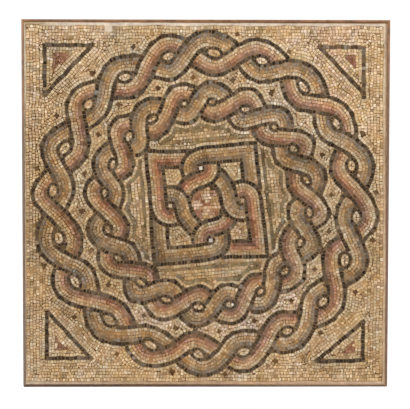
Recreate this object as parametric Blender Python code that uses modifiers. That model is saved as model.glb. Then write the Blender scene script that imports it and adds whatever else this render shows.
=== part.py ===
"""Framed mosaic floor panel, mounted upright for a wall.

A square cut from a Roman tessellated floor, set again in mortar on a cast
backing slab and bound with four mitred flat iron bars.

Frame: metres, +Z up, the mosaic faces -Y.  The origin is the centre of the
back face, which lies in the plane y = 0 and bears on the wall.
"""
import math

import bmesh
import bpy

# ----------------------------------------------------------------- sizes (m)
PANEL_W = 1.100          # overall width across the iron bars
PANEL_H = 1.103          # overall height across the iron bars
PANEL_D = 0.050          # overall depth: the width of the flat bar

BAR_T = 0.0065           # thickness of the flat bar, seen from the front
BAR_ARRIS = 0.0006       # worn arris on the bars
CORNER_R_LOW = 0.0032    # outer corner radius, lower two corners
CORNER_R_UP = 0.0010     # outer corner radius, upper two corners

SLAB_D = 0.0320          # cast backing slab
SLAB_ARRIS = 0.0015
BED_D = 0.0160           # mortar layer, bed and edge fill together
BED_ARRIS = 0.0008
STONE_D = 0.0085         # depth of the layer of small stones
STONE_ARRIS = 0.0010

# width of the mortar fill between the stones and each bar
FILL_TOP = 0.0085
FILL_BOTTOM = 0.0075
FILL_LEFT = 0.0040
FILL_RIGHT = 0.0050

GAP = 0.0003             # clearance kept between neighbouring solids
ARC_STEPS = 6            # facets on each half of a rounded bar corner


# ------------------------------------------------------------------- helpers
def clear_scene():
    for obj in list(bpy.data.objects):
        bpy.data.objects.remove(obj, do_unlink=True)


def collection(name):
    coll = bpy.data.collections.get(name)
    if coll is None:
        coll = bpy.data.collections.new(name)
        bpy.context.scene.collection.children.link(coll)
    return coll


def material(name, colour, roughness, metallic=0.0):
    mat = bpy.data.materials.new(name)
    mat.use_nodes = True
    bsdf = mat.node_tree.nodes["Principled BSDF"]
    bsdf.inputs["Base Color"].default_value = (*colour, 1.0)
    bsdf.inputs["Roughness"].default_value = roughness
    bsdf.inputs["Metallic"].default_value = metallic
    return mat


def block(name, x0, x1, y0, y1, z0, z1, coll, mat=None, parent=None):
    """A box between two corners, its own origin at its centre."""
    mesh = bpy.data.meshes.new(name)
    bm = bmesh.new()
    bmesh.ops.create_cube(bm, size=1.0)
    bmesh.ops.scale(bm, vec=(x1 - x0, y1 - y0, z1 - z0), verts=bm.verts)
    bm.to_mesh(mesh)
    bm.free()
    obj = bpy.data.objects.new(name, mesh)
    obj.location = ((x0 + x1) / 2, (y0 + y1) / 2, (z0 + z1) / 2)
    if mat is not None:
        mesh.materials.append(mat)
    coll.objects.link(obj)
    obj.parent = parent
    return obj


def arris(obj, width, segments=1, angle=math.radians(40)):
    mod = obj.modifiers.new("arris", "BEVEL")
    mod.width = width
    mod.segments = segments
    mod.limit_method = "ANGLE"
    mod.angle_limit = angle
    mod.use_clamp_overlap = True
    return mod


def bar_outline(half_long, half_short, thick, r_start, r_end):
    """Front outline of one mitred bar lying along local +X.

    half_long is half the bar's outer length and half_short the distance of
    its outer face from the panel's centre, so the outer face is the line
    y = -half_short.  Each end is mitred at 45 degrees, and the outer corner is
    rounded up to the mitre with its own radius.
    """
    inset = GAP / 2 * math.sqrt(2.0)     # half the mitre gap, along the bar
    pts = []

    def corner(cx, cy, radius, a0, a1):
        for i in range(ARC_STEPS + 1):
            a = a0 + (a1 - a0) * i / ARC_STEPS
            pts.append((cx + radius * math.cos(a), cy + radius * math.sin(a)))

    left = -half_long + inset
    right = half_long - inset
    corner(left + r_start, -half_short + r_start, r_start,
           math.radians(225), math.radians(270))
    corner(right - r_end, -half_short + r_end, r_end,
           math.radians(270), math.radians(315))
    pts.append((right - thick, -half_short + thick))
    pts.append((left + thick, -half_short + thick))
    return pts


def bar(name, half_long, half_short, turn_deg, r_start, r_end, coll, mat, parent):
    """A flat iron bar on edge, extruded through the panel's depth."""
    curve = bpy.data.curves.new(name, "CURVE")
    curve.dimensions = "2D"
    curve.fill_mode = "BOTH"
    curve.extrude = PANEL_D / 2
    spline = curve.splines.new("POLY")
    pts = bar_outline(half_long, half_short, BAR_T, r_start, r_end)
    spline.points.add(len(pts) - 1)
    for p, (x, y) in zip(spline.points, pts):
        p.co = (x, y, 0.0, 1.0)
    spline.use_cyclic_u = True
    curve.materials.append(mat)
    obj = bpy.data.objects.new(name, curve)
    # local XY -> world XZ, then turned about the panel's Y axis to its side
    obj.rotation_mode = "XYZ"
    obj.rotation_euler = (math.radians(90), math.radians(turn_deg), 0.0)
    obj.location = (0.0, -PANEL_D / 2, 0.0)
    obj.parent = parent
    coll.objects.link(obj)
    weld = obj.modifiers.new("weld", "WELD")
    weld.merge_threshold = 0.00001
    arris(obj, BAR_ARRIS, 1, math.radians(50))
    return obj


# --------------------------------------------------------------------- build
clear_scene()
parts = collection("mosaic_panel")
tools = collection("mosaic_panel_cutters")

IRON = material("iron", (0.30, 0.19, 0.12), 0.55, 0.6)
SLAB = material("cement_slab", (0.55, 0.53, 0.49), 0.9)
BED = material("lime_mortar", (0.72, 0.67, 0.58), 0.9)
STONE = material("tesserae", (0.60, 0.46, 0.31), 0.7)

base = bpy.data.objects.new("mosaic_panel_origin", None)
parts.objects.link(base)

HALF_W = PANEL_W / 2
HALF_H = PANEL_H / 2
IN_X = HALF_W - BAR_T - GAP          # inside of the iron, less the clearance
IN_Z = HALF_H - BAR_T - GAP

# depth stations, from the wall towards the viewer
Y_SLAB = -SLAB_D
Y_BED_BACK = Y_SLAB - GAP
Y_BED_FRONT = Y_BED_BACK - BED_D
Y_POCKET = -PANEL_D + 0.0010 + STONE_D       # floor of the recess for the stones
Y_STONE_FRONT = -PANEL_D + 0.0010            # faces of the stones, 1 mm shy of the bars
Y_STONE_BACK = Y_POCKET - GAP

# extent of the stones
ST_X0 = -HALF_W + BAR_T + FILL_LEFT
ST_X1 = HALF_W - BAR_T - FILL_RIGHT
ST_Z0 = -HALF_H + BAR_T + FILL_BOTTOM
ST_Z1 = HALF_H - BAR_T - FILL_TOP

slab = block("backing_slab", -IN_X, IN_X, Y_SLAB, 0.0, -IN_Z, IN_Z,
             parts, SLAB, base)
arris(slab, SLAB_ARRIS)

bed = block("setting_mortar", -IN_X, IN_X, Y_BED_FRONT, Y_BED_BACK, -IN_Z, IN_Z,
            parts, BED, base)
pocket = block("pocket_cutter", ST_X0 - GAP, ST_X1 + GAP,
               Y_BED_FRONT - 0.01, Y_POCKET, ST_Z0 - GAP, ST_Z1 + GAP, tools)
pocket.hide_render = True
pocket.display_type = "WIRE"
cut = bed.modifiers.new("pocket", "BOOLEAN")
cut.operation = "DIFFERENCE"
cut.solver = "EXACT"
cut.object = pocket
arris(bed, BED_ARRIS)

stones = block("tessellatum", ST_X0, ST_X1, Y_STONE_FRONT, Y_STONE_BACK,
               ST_Z0, ST_Z1, parts, STONE, base)
arris(stones, STONE_ARRIS, 2)

# the four bars, named as seen from the front (+X is the viewer's right)
bar("frame_bottom", HALF_W, HALF_H, 0, CORNER_R_LOW, CORNER_R_LOW,
    parts, IRON, base)
bar("frame_top", HALF_W, HALF_H, 180, CORNER_R_UP, CORNER_R_UP,
    parts, IRON, base)
bar("frame_right", HALF_H, HALF_W, -90, CORNER_R_LOW, CORNER_R_UP,
    parts, IRON, base)
bar("frame_left", HALF_H, HALF_W, 90, CORNER_R_UP, CORNER_R_LOW,
    parts, IRON, base)
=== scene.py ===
# Mosaic panel: hand-set stone tesserae in lime mortar, on a cement slab edged with flat iron bars.
# The pavement is set out here in plan millimetres (x to the right, z up), stone by stone.
import math
import random

import bpy
import numpy as np
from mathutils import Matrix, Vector


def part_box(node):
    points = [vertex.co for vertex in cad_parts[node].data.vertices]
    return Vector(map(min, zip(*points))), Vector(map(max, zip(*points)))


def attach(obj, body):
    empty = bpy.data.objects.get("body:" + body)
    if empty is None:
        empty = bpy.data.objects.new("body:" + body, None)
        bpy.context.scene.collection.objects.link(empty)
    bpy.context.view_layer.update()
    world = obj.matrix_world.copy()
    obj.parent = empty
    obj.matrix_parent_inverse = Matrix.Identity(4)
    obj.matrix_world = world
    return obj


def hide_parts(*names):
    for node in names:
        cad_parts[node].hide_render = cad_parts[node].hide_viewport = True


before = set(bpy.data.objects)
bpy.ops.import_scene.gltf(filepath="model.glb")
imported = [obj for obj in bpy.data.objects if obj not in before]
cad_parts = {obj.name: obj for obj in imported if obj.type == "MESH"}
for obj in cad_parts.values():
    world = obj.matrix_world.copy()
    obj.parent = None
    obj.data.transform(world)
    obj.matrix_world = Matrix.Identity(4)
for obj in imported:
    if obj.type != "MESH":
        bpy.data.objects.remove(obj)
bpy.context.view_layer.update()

# ======================================================================= setting out
SEED = 4107
rnd = random.Random(SEED)

PITCH = 9.5            # a course: one stone and one joint
BAND = 2.5 * PITCH     # strand centre line to the middle of its dark outline
FIELD = (-539.2, -537.2, 538.2, 536.2)   # stones lie inside this

# Interlaced rings.  Crossings, outer lobes and inner lobes of the two strands, clockwise from the
# crossing left of the top lobe.  In span k the clay-red strand is the outer one when k is even.
RING_A = (
    ((-176, 414), (-53, 456), (96.5, 447.5), (236, 404), (345, 300.5), (423, 184), (451, 41), (439, -102),
     (390, -233), (307, -351), (182, -414), (54, -456), (-90, -444), (-226, -395), (-344, -291), (-420, -174),
     (-454.5, -22.5), (-440, 100), (-383.5, 236.5), (-301, 346)),
    ((-122, 478), (9, 492), (167, 466), (311.5, 384), (410, 268.5), (478, 121), (491.5, -40.5), (459.5, -184),
     (386, -310), (264, -416.5), (126.5, -477.5), (-12, -493), (-179.5, -461), (-316, -380), (-428, -254),
     (-481.5, -115.5), (-494.5, 35.5), (-464, 177.5), (-383, 316), (-267, 410)),
    ((-101, 399.5), (24, 411), (156.5, 393), (270, 320.5), (360, 222.5), (399, 107), (417, -32), (380, -152),
     (320, -282), (224, -352), (98.5, -409.5), (-35, -412), (-163, -395), (-266, -318), (-361.5, -208.5),
     (-397, -100), (-421.5, 40), (-380, 159), (-320, 283), (-216, 347.5)),
)
RING_B = (
    ((-110, 284), (-19.5, 315.5), (75, 298), (160.5, 261.5), (229, 200), (276.5, 122), (308, 24), (291, -63),
     (260.5, -157), (200, -241), (117, -286.5), (22.5, -310.5), (-71.5, -297.5), (-167, -266), (-219.5, -200),
     (-287, -120), (-293.5, -22), (-298, 80), (-254.5, 170.5), (-201, 238)),
    ((-82, 333), (24, 340.5), (131, 321), (226, 262), (298, 185), (334, 90), (345.5, -28.5), (318.5, -126.5),
     (270, -216.5), (173, -297), (82, -334), (-31, -344), (-135.5, -322), (-216, -264), (-291.5, -181.5),
     (-330, -75), (-338, 34), (-309.5, 134.5), (-260.5, 230.5), (-175, 288)),
    ((-55, 268), (16, 274.5), (102, 251.5), (174, 210.5), (231, 144), (272, 57), (272.5, -15), (250, -112),
     (208, -184), (147.5, -235.5), (61, -267), (-15, -272), (-110, -253), (-170, -213.5), (-237, -138),
     (-257, -73), (-272, 38), (-245, 110), (-201, 177), (-152, 221)),
)
# Openings between the two strands: centre, half length, half width, turn in degrees.
EYES_A = ((-113, 442, 17, 9.8, 20), (24, 452, 19, 10.4, -13), (166.5, 430, 17, 9.2, -22), (291, 352, 18, 9, -55),
          (391, 243, 17, 8.6, -68), (437.5, 117, 16, 10.4, -80), (453, -39, 19, 9.5, 84), (419, -167, 18.5, 12, 86),
          (353.5, -293, 15.5, 10.6, 46), (245.5, -383.5, 14.5, 9.2, 18), (115, -445, 17.5, 9.8, 16),
          (-22, -453, 17, 9.8, -28), (-167, -424, 19.5, 10.2, -28), (-291, -349, 19.5, 11, -42),
          (-394, -232, 20.5, 10.4, -58), (-442, -101, 18, 11.6, -70), (-458, 40.5, 16.5, 10.4, 80),
          (-423, 168, 20, 12, 48), (-351, 299, 14.5, 10.4, 52), (-242, 380, 17, 10, 13))
EYES_B = ((-66, 302, 7.5, 5.6, 30), (18, 307, 8.5, 5.2, -12), (118, 285, 12, 7, -5), (204, 232, 8.5, 5.8, -46),
          (263, 167, 11, 8.8, -42), (302, 74, 12, 7, -50), (311, -23.5, 13, 6.6, -82), (285, -113.5, 11.5, 6.8, 76),
          (238, -201.5, 13.5, 7.8, 50), (165, -263, 9.6, 6.8, 32), (72, -302, 12.6, 7.5, 2),
          (-22.5, -309, 14, 7.3, -11), (-119.5, -287.5, 14.5, 6.3, -12), (-195, -235.5, 13.6, 7, -29),
          (-262.5, -162.5, 11, 6.4, -34), (-295, -74.5, 12, 6.8, -85), (-304, 33, 10.6, 6.2, -88),
          (-279, 120, 13, 6.8, 74), (-230.5, 203, 13.4, 7.8, 68), (-161, 256, 13, 7.2, 31))

# Courses of a strand, outer side first.
RED = ("dark", "cream", "ochre", "pink", "clay", "dark")
GREY = ("dark", "grey", "amber", "tan", "cream", "dark")
GREY_IN = ("dark", "cream", "tan", "amber", "grey", "dark")

# Four linked loops make the square knot.  Each goes round its own corner field, counter-clockwise;
# a leg ends where it dips under a neighbour.
LOOPS = {
    "TL1": (RED, ((-30, 139), (-75, 136), (-110, 135), (-155, 136), (-205, 138))),
    "TL2": (RED, ((-158, 186), (-155, 136), (-152, 100), (-148, 70), (-145, 40), (-143, 5), (-140, -13),
                  (-133, -27), (-121, -37), (-107, -40), (-95, -36), (-86, -27), (-80, -15))),
    "TL3": (RED, ((-78, -8), (-72, 12), (-67, 30), (-58, 48), (-46, 61), (-30, 70), (-12, 76), (3, 83),
                  (13, 94), (16, 107), (13, 120), (5, 132), (-8, 140))),
    "TR1": (GREY_IN, ((139, 20), (138, 60), (136, 75), (133, 100), (129, 130), (126, 160), (120, 210))),
    "TR2": (GREY_IN, ((176, 165), (126, 160), (100, 157.5), (60, 153), (30, 150), (0, 147.5), (-18, 144),
                      (-33, 137), (-44, 126), (-49, 112), (-47, 98), (-40, 88), (-30, 80))),
    "TR3": (GREY_IN, ((20, 92), (34, 84), (46, 72), (56, 58), (64, 40), (68, 22), (71, 5), (77, -9),
                      (87, -19), (100, -24), (113, -23), (126, -15))),
    "BR1": (RED, ((30, -137), (72, -134), (110, -134), (160, -133), (210, -132))),
    "BR2": (RED, ((164, -183), (160, -133), (157, -105), (154.5, -80), (151, -55), (147.5, -30), (144, -5),
                  (142.5, 10), (140, 24), (133, 36), (121, 44), (108, 46), (97, 42), (88, 33), (80, 20))),
    "BR3": (RED, ((72, 0), (70, -20), (68, -36), (62, -50), (50, -60), (32, -67), (12, -72), (-3, -79),
                  (-13, -91), (-16, -106), (-13, -119), (-5, -130), (8, -138))),
    "BL1": (GREY, ((-141, -20), (-140, -60), (-139.5, -75), (-138.5, -100), (-135, -130), (-132, -156),
                   (-127, -205))),
    "BL2": (GREY, ((-182, -160), (-132, -156), (-100, -154), (-80, -152.5), (-30, -147.5), (0, -143),
                   (20, -139), (34, -133), (44, -122), (47.5, -108), (45, -94), (36, -84), (25, -78))),
    "BL3": (GREY_IN, ((-12, -92), (-25, -78), (-36, -66), (-48, -54), (-58, -40), (-66, -22), (-71, -3),
                      (-76, 12), (-86, 24), (-99, 29), (-112, 28), (-125, 22))),
}
# mitres: a leg keeps the side of the line through its outer and inner corner that holds the third point
MITRES = {
    "TL1": ((-180, 158), (-130, 116), (-90, 150)), "TL2": ((-180, 158), (-130, 116), (-160, 60)),
    "TR1": ((144, 188), (108, 132), (150, 100)), "TR2": ((144, 188), (108, 132), (40, 160)),
    "BR1": ((188, -153), (134, -113), (90, -140)), "BR2": ((188, -153), (134, -113), (160, -60)),
    "BL1": ((-150, -181), (-115, -133), (-150, -90)), "BL2": ((-150, -181), (-115, -133), (-60, -160)),
}
# (over, under, x0, z0, x1, z1): within the box the first leg lies over every leg of the second loop
CROSSINGS = (
    ("TL2", "BL", -200, -78, -103, 66), ("BL3", "TL", -103, -72, -34, 62),
    ("TR2", "TL", -86, 103, 66, 200), ("TL3", "TR", -76, 34, 66, 103),
    ("BR2", "TR", 103, -64, 200, 86), ("TR3", "BR", 38, -66, 103, 66),
    ("BL2", "BR", -62, -200, 88, -103), ("BR3", "BL", -64, -103, 88, -34),
)
KNOT_EYES = ((-15, 109, "white"), (15, -108, "white"), (-107, -4, "cream"), (110, 12, "cream"))

TRIANGLES = (
    # the three dark sides, each from end to end; the red field inside; how dark the sides are
    (((-481, 475, -337, 475), (-336, 479, -482, 327), (-482, 325, -481, 477)),
     ((-458, 455), (-402, 452), (-456, 396)), 1.22),
    (((338, 472, 471, 470), (471, 471, 473, 317), (474, 331, 337, 474)),
     ((410, 443), (449, 443), (447, 402)), 1.40),
    (((-478, -319, -479, -466), (-479, -465, -344, -464), (-344, -468, -480, -320)),
     ((-453, -395), (-450, -438), (-410, -438)), 1.0),
    (((475, -353, 475, -473), (476, -472, 331, -475), (332, -476, 478, -353)),
     ((446, -414), (449, -448), (412, -449)), 0.85),
)
DOTS = ((-338.5, 391, 2), (-217, 470, 1), (-38, 380, 1), (-144, 348, 1), (-261, 298, 1), (93, 509, 1),
        (248, 457.5, 1), (80, 372, 0), (195, 334, 1), (-447, 266, 1), (-321, 208, 1), (-507, 107, 1),
        (-364, 93, 1), (349, 150, 1), (471, 213, 1), (377.5, 29.5, 1), (512, 37, 1), (-371.5, -21.5, 2),
        (-346.5, -140, 0), (-486, -185, 2), (-292.5, -242, 1), (370, -81, 1), (504, -108, 1), (328, -195, 1),
        (452, -264, 1), (-395, -340, 1), (-186, -335, 0), (-92, -373, 1), (-268, -452, 1), (-100, -509, 2),
        (147, -351, 1), (40, -384, 1), (258, -290, 1), (58, -513, 1), (210, -474, 1), (346, -388, 1))
# square knot outline, for the straight courses that pad it out to the inner ring
SQUARE = ((-180, 158), (144, 188), (188, -153), (-150, -181))


# ----------------------------------------------------------------------- small geometry
def smooth_path(points, closed=False, step=1.0):
    """A curve through the points, sampled about every step, with left-hand unit normals."""
    p = np.asarray(points, float)
    n = len(p)
    if closed:
        a = np.zeros((n, n))
        for i in range(n):
            a[i, i] = 4
            a[i, (i + 1) % n] += 1
            a[i, (i - 1) % n] += 1
        m = np.linalg.solve(a, 6 * (np.roll(p, -1, 0) - 2 * p + np.roll(p, 1, 0)))
        spans = [(p[i], p[(i + 1) % n], m[i], m[(i + 1) % n]) for i in range(n)]
    else:
        a = np.eye(n) * 4
        a[0, 0] = a[-1, -1] = 1
        for i in range(1, n - 1):
            a[i, i - 1] = a[i, i + 1] = 1
        rhs = np.zeros((n, 2))
        rhs[1:-1] = 6 * (p[2:] - 2 * p[1:-1] + p[:-2])
        m = np.linalg.solve(a, rhs)
        spans = [(p[i], p[i + 1], m[i], m[i + 1]) for i in range(n - 1)]
    pos, der = [], []
    for p0, p1, m0, m1 in spans:
        k = max(2, int(round(math.hypot(*(p1 - p0)) / step)))
        t = (np.arange(k) / k)[:, None]
        pos.append((1 - t) * p0 + t * p1 + ((1 - t) ** 3 - (1 - t)) * m0 / 6 + (t ** 3 - t) * m1 / 6)
        der.append((p1 - p0) + (-3 * (1 - t) ** 2 + 1) * m0 / 6 + (3 * t ** 2 - 1) * m1 / 6)
    pos, der = np.concatenate(pos), np.concatenate(der)
    der /= np.hypot(der[:, 0], der[:, 1])[:, None]
    return pos, np.stack([-der[:, 1], der[:, 0]], 1)


def clip_line(poly, nx, nz, c):
    """The part of a convex polygon where nx*x + nz*z <= c."""
    out = []
    n = len(poly)
    d = [nx * p[0] + nz * p[1] - c for p in poly]
    for i in range(n):
        a, b = poly[i], poly[(i + 1) % n]
        da, db = d[i], d[(i + 1) % n]
        if da <= 0:
            out.append(a)
        if (da < 0 < db) or (db < 0 < da):
            t = da / (da - db)
            out.append((a[0] + (b[0] - a[0]) * t, a[1] + (b[1] - a[1]) * t))
    return out


def area(poly):
    s = 0.0
    for i in range(len(poly)):
        a, b = poly[i - 1], poly[i]
        s += a[0] * b[1] - b[0] * a[1]
    return s / 2


def centre(poly):
    n = len(poly)
    return sum(p[0] for p in poly) / n, sum(p[1] for p in poly) / n


def wave(seed, amp, length):
    """A slow wander: a few sines with random phases."""
    r = random.Random(seed)
    terms = [(r.uniform(0.6, 1.7) * 2 * math.pi / length, r.uniform(0, 6.28), r.uniform(0.4, 1)) for _ in range(4)]
    k = amp / sum(t[2] for t in terms) * 1.6
    return lambda s: k * sum(a * math.sin(w * s + f) for w, f, a in terms)


def edge_top(x):
    base = 532.0 if x > -498 else 536.0
    return min(FIELD[3], base + 1.3 * math.sin(x * 0.031) + 0.9 * math.sin(x * 0.083 + 1))


# a patch of lime mortar where stones are lost: x0, z0, x1, z1
LOST = ((-303, 514, -278, 540),)


def edge_right(z):
    base = 530.0 if z > 190 else 533.0 - 1.5 * math.sin(z * 0.006)
    return min(FIELD[2], base + 1.2 * math.sin(z * 0.027 + 2) + 0.8 * math.sin(z * 0.071))


def edge_bottom(x):
    return max(FIELD[1], -534.0 + 1.0 * math.sin(x * 0.022 + 1) + 0.7 * math.sin(x * 0.09))


def edge_left(z):
    base = -536.0 if z > 300 else -538.5
    return max(FIELD[0], base + 0.9 * math.sin(z * 0.02) + 0.6 * math.sin(z * 0.077))


# ----------------------------------------------------------------------- the stones
class Stone:
    __slots__ = ("poly", "prio", "kind", "row", "dirx", "dirz", "seed")

    def __init__(self, poly, prio, kind, row=0, direction=(1.0, 0.0)):
        self.poly, self.prio, self.kind, self.row = poly, prio, kind, row
        self.dirx, self.dirz = direction
        self.seed = rnd.random()


stones = []


def lay(pos, nrm, edges, kinds, prio, keep, row0=0, closed=False, mean=9.6, spread=1.25, clips=(),
        calm=1.0, pinch=lambda u, e: e):
    """Courses of stones between neighbouring edges (offsets to the left of the path)."""
    n = len(pos)
    made = []
    last = len(edges) - 1
    sway = [1.0] * (last + 1) if last < 4 else [1.7 if k in (0, last) else 1.4 if k in (1, last - 1) else 1.1 for k in range(last + 1)]
    wob = [wave(rnd.random(), a * calm, 50) for a in sway]
    for c, kind in enumerate(kinds):
        d0, d1 = edges[c], edges[c + 1]
        dm = (d0 + d1) / 2
        pts = pos + nrm * dm
        nxt = np.roll(pts, -1, 0) if closed else np.concatenate([pts[1:], pts[-1:]])
        step = nxt - pts
        tang = np.stack([nrm[:, 1], -nrm[:, 0]], 1)
        seg = np.maximum((step * tang).sum(1), 0.0)
        cum = np.concatenate([[0], np.cumsum(seg)])
        total = cum[-1] if closed else cum[-2]
        if total < 4:
            continue
        cuts = [0.0 if closed else -rnd.uniform(0, 5)]
        big = 1.06 if kind == "dark" else 1.0
        while cuts[-1] < total:
            cuts.append(cuts[-1] + min(13.6, max(6.2, rnd.gauss(mean * big, spread))))
        if closed:
            k = total / cuts[-1]
            cuts = [v * k for v in cuts]
        cuts = [min(max(v, 0.0), total) for v in cuts]
        idx = np.arange(len(cum), dtype=float)
        for a, b in zip(cuts[:-1], cuts[1:]):
            if b - a < 3.5:
                continue
            ends = []
            for s in (a, b):
                u = float(np.interp(s, cum, idx))
                i = int(u) % n if closed else min(int(u), n - 1)
                j = (i + 1) % n if closed else min(i + 1, n - 1)
                f = u - int(u)
                p = pos[i] * (1 - f) + pos[j] * f
                q = nrm[i] * (1 - f) + nrm[j] * f
                q = q / math.hypot(*q)
                ends.append((p, q, s, u))
            sk0, sk1 = rnd.gauss(0, 0.28), rnd.gauss(0, 0.28)
            (pa, na, sa, ua), (pb, nb, sb, ub) = ends
            ta, tb = (na[1], -na[0]), (nb[1], -nb[0])
            out0 = rnd.gauss(0, 0.55) * calm if c == 0 and last >= 4 else 0.0
            out1 = rnd.gauss(0, 0.55) * calm if c == last - 1 and last >= 4 else 0.0
            e0, e1 = pinch(ua, d0) + wob[c](sa) + out0, pinch(ua, d1) + wob[c + 1](sa) + out1
            g0, g1 = pinch(ub, d0) + wob[c](sb) + out0, pinch(ub, d1) + wob[c + 1](sb) + out1
            quad = [(pa[0] + na[0] * e0 - ta[0] * sk0, pa[1] + na[1] * e0 - ta[1] * sk0),
                    (pb[0] + nb[0] * g0 - tb[0] * sk1, pb[1] + nb[1] * g0 - tb[1] * sk1),
                    (pb[0] + nb[0] * g1 + tb[0] * sk1, pb[1] + nb[1] * g1 + tb[1] * sk1),
                    (pa[0] + na[0] * e1 + ta[0] * sk0, pa[1] + na[1] * e1 + ta[1] * sk0)]
            ar = area(quad)
            if ar < 0:
                quad.reverse()
                ar = -ar
            if ar < 18:
                continue
            cx, cz = centre(quad)
            u = float(np.interp((a + b) / 2, cum, idx))
            pr = prio(u, cx, cz) if callable(prio) else prio
            if not keep(u, cx, cz, kind):
                continue
            for nx, nz, cc in clips:
                quad = clip_line(quad, nx, nz, cc)
                if len(quad) < 3:
                    break
            if len(quad) < 3 or area(quad) < 16:
                continue
            made.append(Stone(quad, pr, kind, row0 + c, (ta[0], ta[1])))
    stones.extend(made)
    return made


def near(line, x, z):
    return math.sqrt(float(((line[:, 0] - x) ** 2 + (line[:, 1] - z) ** 2).min()))


EDGES6 = [3 * PITCH + 1.5, 2 * PITCH, PITCH, 0.0, -PITCH, -2 * PITCH, -3 * PITCH - 1.5]


def oval(x, z, a, b, turn, px, pz):
    """Below 1 inside the oval."""
    c, s = math.cos(math.radians(turn)), math.sin(math.radians(turn))
    u, v = (px - x) * c + (pz - z) * s, (pz - z) * c - (px - x) * s
    return math.hypot(u / a, v / b)


def ring(table, base, eyes):
    cr, out, inn = [np.asarray(t, float) for t in table]
    n = len(cr)
    first = len(stones)
    paths, marks = [], []
    for s in (0, 1):
        pts = np.empty((2 * n, 2))
        pts[0::2] = cr
        for k in range(n):
            pts[2 * k + 1] = out[k] if k % 2 == s else inn[k]
        pos, nrm = smooth_path(pts, closed=True)
        # index of each crossing along the sampled path
        at = [int(np.argmin(((pos - c) ** 2).sum(1))) for c in cr]
        paths.append((pos, nrm))
        marks.append(at)
    for s in (0, 1):
        pos, nrm = paths[s]
        at = np.asarray(marks[s], float)
        other, oat = paths[1 - s][0], marks[1 - s]
        m = len(pos)
        # the strand narrows a little where it goes round an opening
        bulge = []
        for k in range(n):
            side = -1.0 if k % 2 == s else 1.0
            me = (out if k % 2 == s else inn)[k]
            room = math.hypot(*(me - np.asarray(eyes[k][:2], float))) - 2 * PITCH
            bulge.append((int(np.argmin(((pos - me) ** 2).sum(1))), side, min(5.0, max(0.0, eyes[k][3] + 9.0 - room))))

        def pinch(u, e, bulge=bulge, m=m):
            for at_u, side, much in bulge:
                if side * e > 0:
                    d = abs(u - at_u)
                    d = min(d, m - d)
                    if d < 50:
                        return e - side * much * math.exp(-(d / 22) ** 2) * min(1.0, side * e / (2 * PITCH))
            return e

        def nearest(u):
            d = np.abs(at - u)
            d = np.minimum(d, m - d)
            return int(np.argmin(d))

        def keep(u, x, z, kind, s=s, other=other, oat=oat, m=m):
            k = nearest(u)
            if k % 2 == s:
                return True
            mo = len(other)
            a = oat[k]
            win = other[np.arange(a - 95, a + 96) % mo]
            return near(win, x, z) > 3 * PITCH + 0.4

        def prio(u, x, z, s=s):
            return base + (1.0 if nearest(u) % 2 == s else 0.0)

        lay(pos, nrm, EDGES6, RED if s == 0 else GREY, prio, keep, row0=100 * (s + 1), closed=True, pinch=pinch)
    # a dark course goes right round each opening
    kept = []
    for st in stones[first:]:
        x, z = centre(st.poly)
        if all(oval(ex, ez, a + 8.2, b + 8.2, turn, x, z) > 1 for ex, ez, a, b, turn in eyes):
            kept.append(st)
    del stones[first:]
    stones.extend(kept)
    for k, (x, z, a, b, turn) in enumerate(eyes):
        c, s = math.cos(math.radians(turn)), math.sin(math.radians(turn))
        f = np.arange(18) * math.pi / 9
        u, v = (a + 5.0) * np.cos(f), (b + 5.0) * np.sin(f)
        pos, nrm = smooth_path(np.stack([x + u * c - v * s, z + u * s + v * c], 1), closed=True)
        lay(pos, nrm, [4.3, -4.3], ["dark"], base + 1.6, lambda u, x, z, kind: True, row0=250, closed=True, mean=8.8)


ring(RING_A, 20.0, EYES_A)
ring(RING_B, 16.0, EYES_B)

# ----------------------------------------------------------------------- the knot
legs = {}
for name, (kinds, pts) in LOOPS.items():
    legs[name] = smooth_path(pts)
for name, (kinds, pts) in LOOPS.items():
    pos, nrm = legs[name]
    loop = name[:2]
    clips = []
    if name in MITRES:
        (ax, az), (bx, bz), (px, pz) = MITRES[name]
        nx, nz = bz - az, ax - bx
        ln = math.hypot(nx, nz)
        nx, nz = nx / ln, nz / ln
        c = nx * ax + nz * az
        if nx * px + nz * pz > c:
            nx, nz, c = -nx, -nz, -c
        clips.append((nx, nz, c))
    rules = [r for r in CROSSINGS if r[1] == loop]
    overs = [r for r in CROSSINGS if r[0] == name]

    def keep(u, x, z, kind, rules=rules):
        for over, _, x0, z0, x1, z1 in rules:
            if x0 < x < x1 and z0 < z < z1 and near(legs[over][0], x, z) < 3 * PITCH - 1.6:
                return False
        return True

    def prio(u, x, z, overs=overs):
        for _, _, x0, z0, x1, z1 in overs:
            if x0 < x < x1 and z0 < z < z1:
                return 13.0
        return 12.0

    # the path runs counter-clockwise, so it is laid backwards to have its outer side on the left
    lay(pos[::-1], -nrm[::-1], [3 * PITCH + 0.6, 2 * PITCH - 1.2, PITCH - 0.2, 0.8, -PITCH + 1.0, -2 * PITCH + 0.9, -3 * PITCH - 0.2],
        kinds, prio, keep, row0=300, clips=clips, mean=9.0, calm=0.45)


def block(x, z, w, d, turn, prio, kind, row=0):
    c, s = math.cos(turn), math.sin(turn)
    quad = []
    for u, v in ((-1, -1), (1, -1), (1, 1), (-1, 1)):
        du = u * w / 2 + rnd.uniform(-0.4, 0.4)
        dv = v * d / 2 + rnd.uniform(-0.4, 0.4)
        quad.append((x + du * c - dv * s, z + du * s + dv * c))
    st = Stone(quad, prio, kind, row, (c, s))
    stones.append(st)
    return st


for x, z, kind in KNOT_EYES:
    block(x, z, 10.4, 10.4, rnd.uniform(-0.2, 0.2), 30.0, "eye_" + kind)

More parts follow.
